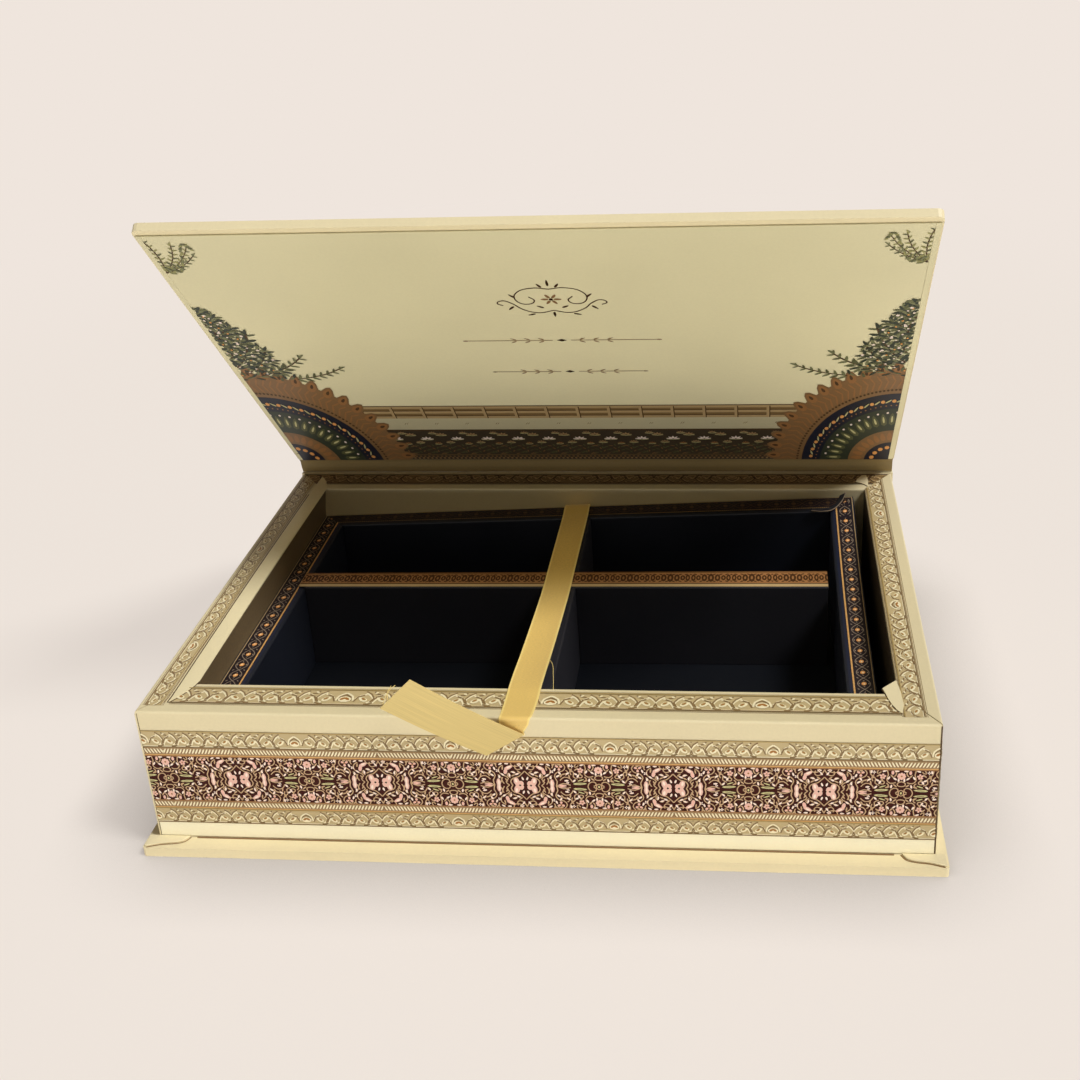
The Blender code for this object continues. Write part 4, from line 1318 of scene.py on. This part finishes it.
def paper_piece(name, outline, height, thickness, material, body, round_edge=0.06, bend=None):
    """A paper shape from its outline in mm, lying at a height, with softened edges. bend moves its points."""
    bm = bmesh.new()
    face = bm.faces.new([bm.verts.new((x * MM, y * MM, height)) for x, y in outline])
    if face.normal.z < 0:
        face.normal_flip()
    bm.normal_update()
    grown = bmesh.ops.extrude_face_region(bm, geom=[face])["geom"]
    raised = [g for g in grown if isinstance(g, bmesh.types.BMVert)]
    bmesh.ops.translate(bm, vec=(0, 0, thickness * MM), verts=raised)
    bmesh.ops.recalc_face_normals(bm, faces=bm.faces)
    bmesh.ops.bevel(bm, geom=bm.edges[:], offset=round_edge * MM, offset_type="OFFSET", segments=2,
                    profile=0.5, affect="EDGES", material=-1)
    if bend:
        bmesh.ops.triangulate(bm, faces=bm.faces[:])
        long = [e for e in bm.edges if e.calc_length() > LONGEST_EDGE * MM]
        bmesh.ops.subdivide_edges(bm, edges=long, cuts=3)
        bmesh.ops.triangulate(bm, faces=bm.faces[:])
        for vert in bm.verts:
            vert.co += bend(vert.co.x / MM, vert.co.y / MM) * MM
    mesh = finished_mesh(bm, name, material)
    print(name, len(mesh.polygons), "faces")
    return add_piece(name, mesh, body)


def on_tray(points):
    """Outline points in mm from the tray's front left outer corner, as places on the box."""
    return [(LEFT / MM + x, FRONT / MM + y) for x, y in points]


# %% [markdown]
# The paper that lines the left wall stands a little proud of it. It is folded out over the rim as a plain
# flange, which covers the corners' mitres and runs out to a point over the front rim.

# %% Flange on the left rim
FLANGE_FRONT = [(11.2, 6.4), (12.6, 8.4), (14.4, 11.4), (16.2, 15.4), (17.4, 19.0), (17.8, 21.4)]
FLANGE = FLANGE_FRONT + [(17.8 - 0.5 * math.sin(math.pi * i / 10), 21.4 + 18.0 * i) for i in range(1, 11)]
FLANGE += [(17.2, 204.6), (15.6, 209.2), (13.0, 213.4), (11.6, 214.6)]
OUTER_EDGE = [(11.4 - 0.6 * math.sin(math.pi * i / 10), 214.6 - 20.4 * i) for i in range(1, 11)]


def flange_droop(x, y):
    """The flange's inner part hangs down a little, most of all halfway along."""
    inner = max(0.0, (x - LEFT / MM - 12.0) / 5.8)
    return Vector((0, 0, -0.5 * inner ** 2))


flange = paper_piece("rim_flange_left", on_tray(FLANGE + OUTER_EDGE), RIM + 0.1 * MM, 0.4, CREAM, "box", 0.1,
                     flange_droop)
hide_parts("corner_tab_front_left", "corner_tab_back_left")
# The umber lines along the flange's edges are painted shadow under its raised edges; the thin brown line
# further out is print.
shade_line = Print()
whole_edge = OUTER_EDGE + FLANGE_FRONT[:1]
for ink, out, width in (("umber", 0.4, 0.8), ("brown", 1.6, 0.4)):
    shade_line.line(ink, on_tray([(x - out, y) for x, y in whole_edge]), width, 1, smooth=2)
shade_line.line("umber", on_tray([(x + 0.2, y - 0.1) for x, y in FLANGE_FRONT]), 0.45, 1, smooth=3)
shade_line.lay("flange_shade_and_print_lines", Matrix.Translation((0, 0, RIM)), "box")

# %% [markdown]
# Below the rim the two side walls are lined with dark brown paper, the right one darkened to near black as
# painted shade. It isn't glued flat, so each lining follows a slightly bowed section from the rim down into
# the well.

# %% Lining of the inner walls
LININGS = {
    "inner_lining_left": (WALNUT, (17.5, -0.3), (17.1, -2.5), (16.5, -7.0), (15.95, -11.5), (15.75, -16.0),
                          (15.7, -52.0)),
    # The right lining's near-black paper is painted shade.
    "inner_lining_right": (RIGHT_LINING_PAINTED_SHADE, (290.35, -0.25), (290.3, -3.0), (290.35, -9.0), (290.3, -20.0),
                           (290.35, -52.0)),
}
for name, (cover, *section) in LININGS.items():
    path = smooth_path([Vector((LEFT / MM + x, 0, RIM / MM + z)) * MM for x, z in section], 3)
    ends = [[Vector((p.x, y, p.z)) for p in path] for y in (IN_FRONT + 0.3 * MM, IN_BACK - 0.3 * MM)]
    bent_strip(name, *ends, 14, 0.15, cover, "box")

# %% [markdown]
# The other corners of the rim keep small leftover tabs of the same paper. Each has a hollow cut side and
# lifts a hair's breadth towards its free tip, as far as the closed lid allows, with a painted umber line of
# shade.

# %% Tabs on the right corners
TAB_LIFT = 0.12
TABS = {
    "corner_tab_front_right": ((286.0, 24.0), 6, [
        (291.0, 6.2), (289.4, 8.2), (287.8, 11.6), (286.6, 15.6), (285.8, 19.4), (284.9, 22.6), (287.4, 25.2),
        (290.6, 28.4), (291.6, 21.0), (292.0, 12.0)]),
    "corner_tab_back_right": ((287.0, 210.0), 5, [
        (292.2, 204.2), (290.6, 206.4), (288.6, 208.0), (286.6, 208.8), (287.8, 212.6), (290.4, 216.8),
        (292.4, 217.0), (293.0, 210.0)]),
}
for name, (tip, shaded, outline) in TABS.items():
    tip_at = Vector((LEFT / MM + tip[0], FRONT / MM + tip[1]))

    def curl(x, y, tip_at=tip_at):
        near = max(0.0, 1 - (Vector((x, y)) - tip_at).length / 9)
        return Vector((0, 0, TAB_LIFT * near))

    # The tab is cut from the lighter cream paper, which partly paints the light that its curl catches.
    tab = paper_piece(name + "_curled", on_tray(outline), RIM + 0.16 * MM, 0.25, CREAM, "box", bend=curl)
    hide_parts(name)
    # A painted umber line of shade runs along the tab's free edge.
    free_edge = Print()
    free_edge.line("umber", on_tray(outline[:shaded]), 0.7, 0, smooth=3)
    free_edge.lay(name + "_painted_shade", Matrix.Translation((0, 0, RIM)), "box")

# %% [markdown]
# At the insert's raised corner the paper of the back ledge has come loose. It curls up over the well, and its
# cut edge shows as a pale line.

# %% Curl on the insert
CURL_ROOT = ((112.0, 190.6), (117.0, 190.8), (121.5, 192.0), (124.6, 196.4), (126.6, 203.0))
CURL_LIP = ((111.5, 186.6), (116.5, 185.8), (121.8, 187.0), (126.6, 193.6), (129.4, 202.0))


def curl_edge(points, rise):
    """A smooth line over the insert's ledge, rise mm above it."""
    path = smooth_path([Vector((x * MM, FRONT + y * MM, 0)) for x, y in points], 4)
    for p in path:
        p.z = LEDGE_Z + insert_rise(p.x, p.y) + rise * MM
    return path


root, lip = curl_edge(CURL_ROOT, 0.25), curl_edge(CURL_LIP, 1.7)
bent_strip("insert_curl", root, lip, 4, 0.2, NAVY, "box")
rim_of_curl = [p + Vector((0, 0, 0.35 * MM)) for p in lip]
bent_strip("insert_curl_edge", lip, rim_of_curl, 2, 0.3, INK["ash"], "box")

# %% [markdown]
# The base board's covering paper is turned in at the corners. At each front corner the side's paper comes
# forward over the front's, and its thick cut edge stands up in a pale line with a painted line of shade
# beside it.

# %% Corner folds on the base
FOLD_CUT = ((0.6, 0.7), (6.0, 2.4), (12.4, 3.4), (14.8, 4.4))
base_low, base_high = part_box("base_wrap")
edge, wall = base_low.y / MM, FRONT / MM - 0.3
base_lines = Print()
for side, name, end in ((-1, "base_fold_left", base_low.x), (1, "base_fold_right", base_high.x)):
    corner = end / MM - side * 0.7
    cut = [(corner - side * u, edge + v) for u, v in FOLD_CUT] + [(corner - side * 16.6, wall)]
    outline = [(corner, edge + 1.0)] + cut + [(corner, wall)]
    paper_piece(name, outline, base_high.z + 0.1 * MM, 0.75, CREAM, "box", 0.25)
    # A bronze line painted along the fold's cut edge stands for its shadow.
    base_lines.line("bronze", [(x - side * 0.25, y - 0.3) for x, y in cut], 0.5, 1, smooth=3)

# %% [markdown]
# The tray stands on the base with a thin brown line painted along its foot, as shade in the gap under the
# wall.

# %% Line along the tray's foot
FOOT_END = 15.5
# A bronze strip painted along the tray's foot stands for the shade under the wall.
base_lines.block("bronze", (LEFT / MM + FOOT_END, FRONT / MM - 0.9),
                 (RIGHT / MM - FOOT_END, FRONT / MM - 0.1))
base_lines.lay("foot_and_fold_painted_shade", Matrix.Translation((0, 0, base_high.z)), "box")

# %% [markdown]
# The tray's paper wraps round each upright corner. On the left it ends in a narrow raised margin with a
# painted dark line of shade beside it, and on the right a painted dark line stands for the shade where the
# two papers meet.

# %% Upright corner margins
NEAR, FAR = 0.03, 0.62
GAP_LINE = ((0.34, -0.7), (0.42, -16), (0.55, -30), (0.45, -46), (0.4, WALL_LOW))
foot, top = -WALL_FOOT / MM, -RIM / MM + 0.9
outline = [(LEFT / MM + x, y) for x, y in ((NEAR, foot), (FAR, foot), (FAR, top), (NEAR, top))]
margin = paper_piece("corner_margin_left", outline, 0, 0.22, TRAY_CREAM, "box")
margin.data.transform(upright((0, FRONT, 0)) @ Matrix.Diagonal((1, -1, 1, 1)))
margin.data.flip_normals()
gap = Print()
# Both umber marks are painted shade: one beside the left margin, one in the right corner's gap.
gap.block("umber", (0.66, WALL_LOW), (EDGE_STRIP + 0.15, -0.9))
gap.line("umber", [(WIDE - u, v) for u, v in GAP_LINE], 0.55, 1, smooth=4)
gap.lay("corner_painted_shade_lines", upright((LEFT, FRONT, RIM)), "box")

# %% [markdown]
# The lining of the lid reaches almost to the board's edge at the sides, over the turned-in paper.

# %% Margins of the lid's lining
near, far = (LINER_HIGH.x + 0.1 * MM) / MM, (LID_HIGH.x - 0.75 * MM) / MM
low, high = LINER_LOW.y / MM, LINER_HIGH.y / MM
for side, name in ((-1, "lining_margin_left"), (1, "lining_margin_right")):
    outline = [(side * near, low), (side * far, low), (side * far, high), (side * near, high)]
    margin = paper_piece(name, outline, LINER_LOW.z + 0.02 * MM, 0.25, LINER, "lid")
    margin.data.transform(TO_LID)

# %% [markdown]
# The box stands on a pale table. The camera sees the table mostly as an even pale surface, which keeps the
# shadow soft, and wholly so from a metre away, so that the table ends without a line.

# %% Table
TABLE_SIZE = 4.0
TABLE_BACK = 3.0
TABLE_COLOUR = srgb(250, 243, 232)


def straight_rays(tree, rays):
    """One for a ray that shows the table as it looks: to the camera, off a gloss, or through glass."""
    shown = rays.outputs["Is Camera Ray"]
    for kind in ("Is Glossy Ray", "Is Transmission Ray"):
        either = node(tree, "Math", operation="MAXIMUM")
        link(tree, (shown, either.inputs[0]), (rays.outputs[kind], either.inputs[1]))
        shown = either.outputs[0]
    return shown


def make_table():
    """A wide flat sheet, which the camera sees in one even colour, darker only close to the box, where
    ambient occlusion paints shade into that colour.
    """
    material, tree, plain = new_material("table")
    plain.inputs["Base Color"].default_value = TABLE_COLOUR
    plain.inputs["Roughness"].default_value = 0.9
    seen = node(tree, "Emission")
    rays = node(tree, "LightPath")
    part = node(tree, "Math", operation="MULTIPLY")
    place = node(tree, "TexCoord")
    away = node(tree, "VectorMath", operation="LENGTH")
    even = node(tree, "MapRange", {"From Min": 0.5, "From Max": 1.0, "To Min": 0.8, "To Max": 1.0},
                interpolation_type="SMOOTHSTEP")
    # Ambient occlusion darkens the colour that the camera sees close to the box: painted shade round its
    # foot.
    near = node(tree, "AmbientOcclusion", {"Distance": 0.05, "Color": PALE_TABLE}, samples=8)
    mix = node(tree, "MixShader")
    link(tree, (place.outputs["Object"], away.inputs[0]), (away.outputs["Value"], even.inputs["Value"]),
         (straight_rays(tree, rays), part.inputs[0]), (even.outputs["Result"], part.inputs[1]),
         (near.outputs["Color"], seen.inputs["Color"]), (part.outputs[0], mix.inputs[0]),
         (plain.outputs[0], mix.inputs[1]), (seen.outputs[0], mix.inputs[2]),
         (mix.outputs[0], tree.nodes["Material Output"].inputs["Surface"]))
    bm = bmesh.new()
    bmesh.ops.create_grid(bm, x_segments=1, y_segments=1, size=TABLE_SIZE)
    bmesh.ops.translate(bm, vec=(0, TABLE_BACK, 0), verts=bm.verts)
    table = add_piece("table", finished_mesh(bm, "table", material))
    return table


print("table", [round(v, 2) for v in make_table().dimensions], "m")

# %% [markdown]
# The room round the box gives a faint warm light from all sides. The camera sees the table's colour in its
# place, so the picture has one even background.

# %% World
world = bpy.data.worlds.new("room")
bpy.context.scene.world = world
world.use_nodes = True
room = world.node_tree
air = room.nodes["Background"]
air.inputs["Color"].default_value = srgb(255, 236, 204)
air.inputs["Strength"].default_value = 0.09
backdrop = node(room, "Background", {"Color": PALE_TABLE})
rays = node(room, "LightPath")
mix = node(room, "MixShader")
link(room, (straight_rays(room, rays), mix.inputs[0]), (air.outputs[0], mix.inputs[1]),
     (backdrop.outputs[0], mix.inputs[2]), (mix.outputs[0], room.nodes["World Output"].inputs["Surface"]))
print("room light", round(air.inputs["Strength"].default_value, 2))

# %% [markdown]
# A soft sun, like a window high on the right, lights the rim and the front. A long low lamp in front fills
# the front face, and a glow at the height of the table lights the lid from below. The lid itself shades the
# back of the tray.

# %% Lamps
def add_light(name, kind, energy, turn):
    """A new light that shines along the turn's own -Z."""
    data = bpy.data.lights.new(name, kind)
    data.energy = energy
    light = add_piece(name, data)
    light.rotation_euler = turn.to_euler()
    return light


def lamp(name, place, aim, width, height, watts):
    """A rectangular lamp of that size in metres, which shines from a place towards another."""
    light = add_light(name, "AREA", watts, (Vector(aim) - Vector(place)).to_track_quat("-Z", "Y"))
    light.data.shape = "RECTANGLE"
    light.data.size, light.data.size_y = width, height
    light.location = place
    return light


sun = add_light("window", "SUN", 2.7, Vector((0.65, -0.20, 1.0)).to_track_quat("Z", "Y"))
sun.data.angle = math.radians(16)
low_front = lamp("low_front", (0.1, -1.5, 0.045), (0, 0, 0.12), 1.8, 0.08, 7.4)
table_glow = lamp("table_glow", (0.05, -0.5, 0.004), (0.05, -0.5, 1), 1.2, 0.5, 1.95)
table_glow.visible_camera = False
print("lamps:", [light.name for light in (sun, low_front, table_glow)])

# %% [markdown]
# The camera looks down from the right of the middle. Its place and lens were worked out from the corners
# of the box in the photograph, and the shift keeps the box where the photograph has it.

# %% Camera
FOCAL_PIXELS, PHOTO_SIDE, SENSOR = 1401.5, 1080, 36
EYE = (86.0, -433.6, 297.6)
YAW, PITCH, ROLL = 5.95, -23.63, -2.49

camera = add_piece("camera", bpy.data.cameras.new("camera"))
camera.data.lens = FOCAL_PIXELS / PHOTO_SIDE * SENSOR
camera.data.shift_x, camera.data.shift_y = -0.0787, -0.0783
camera.matrix_world = (
    Matrix.Translation((EYE[0] * MM, FRONT + EYE[1] * MM, RIM + EYE[2] * MM))
    @ Matrix.Rotation(math.radians(YAW), 4, "Z")
    @ Matrix.Rotation(math.radians(90 + PITCH), 4, "X")
    @ Matrix.Rotation(math.radians(ROLL), 4, "Z")
)
bpy.context.scene.camera = camera
bpy.context.scene.view_settings.view_transform = "Standard"
print("lens", round(camera.data.lens, 1), "mm")
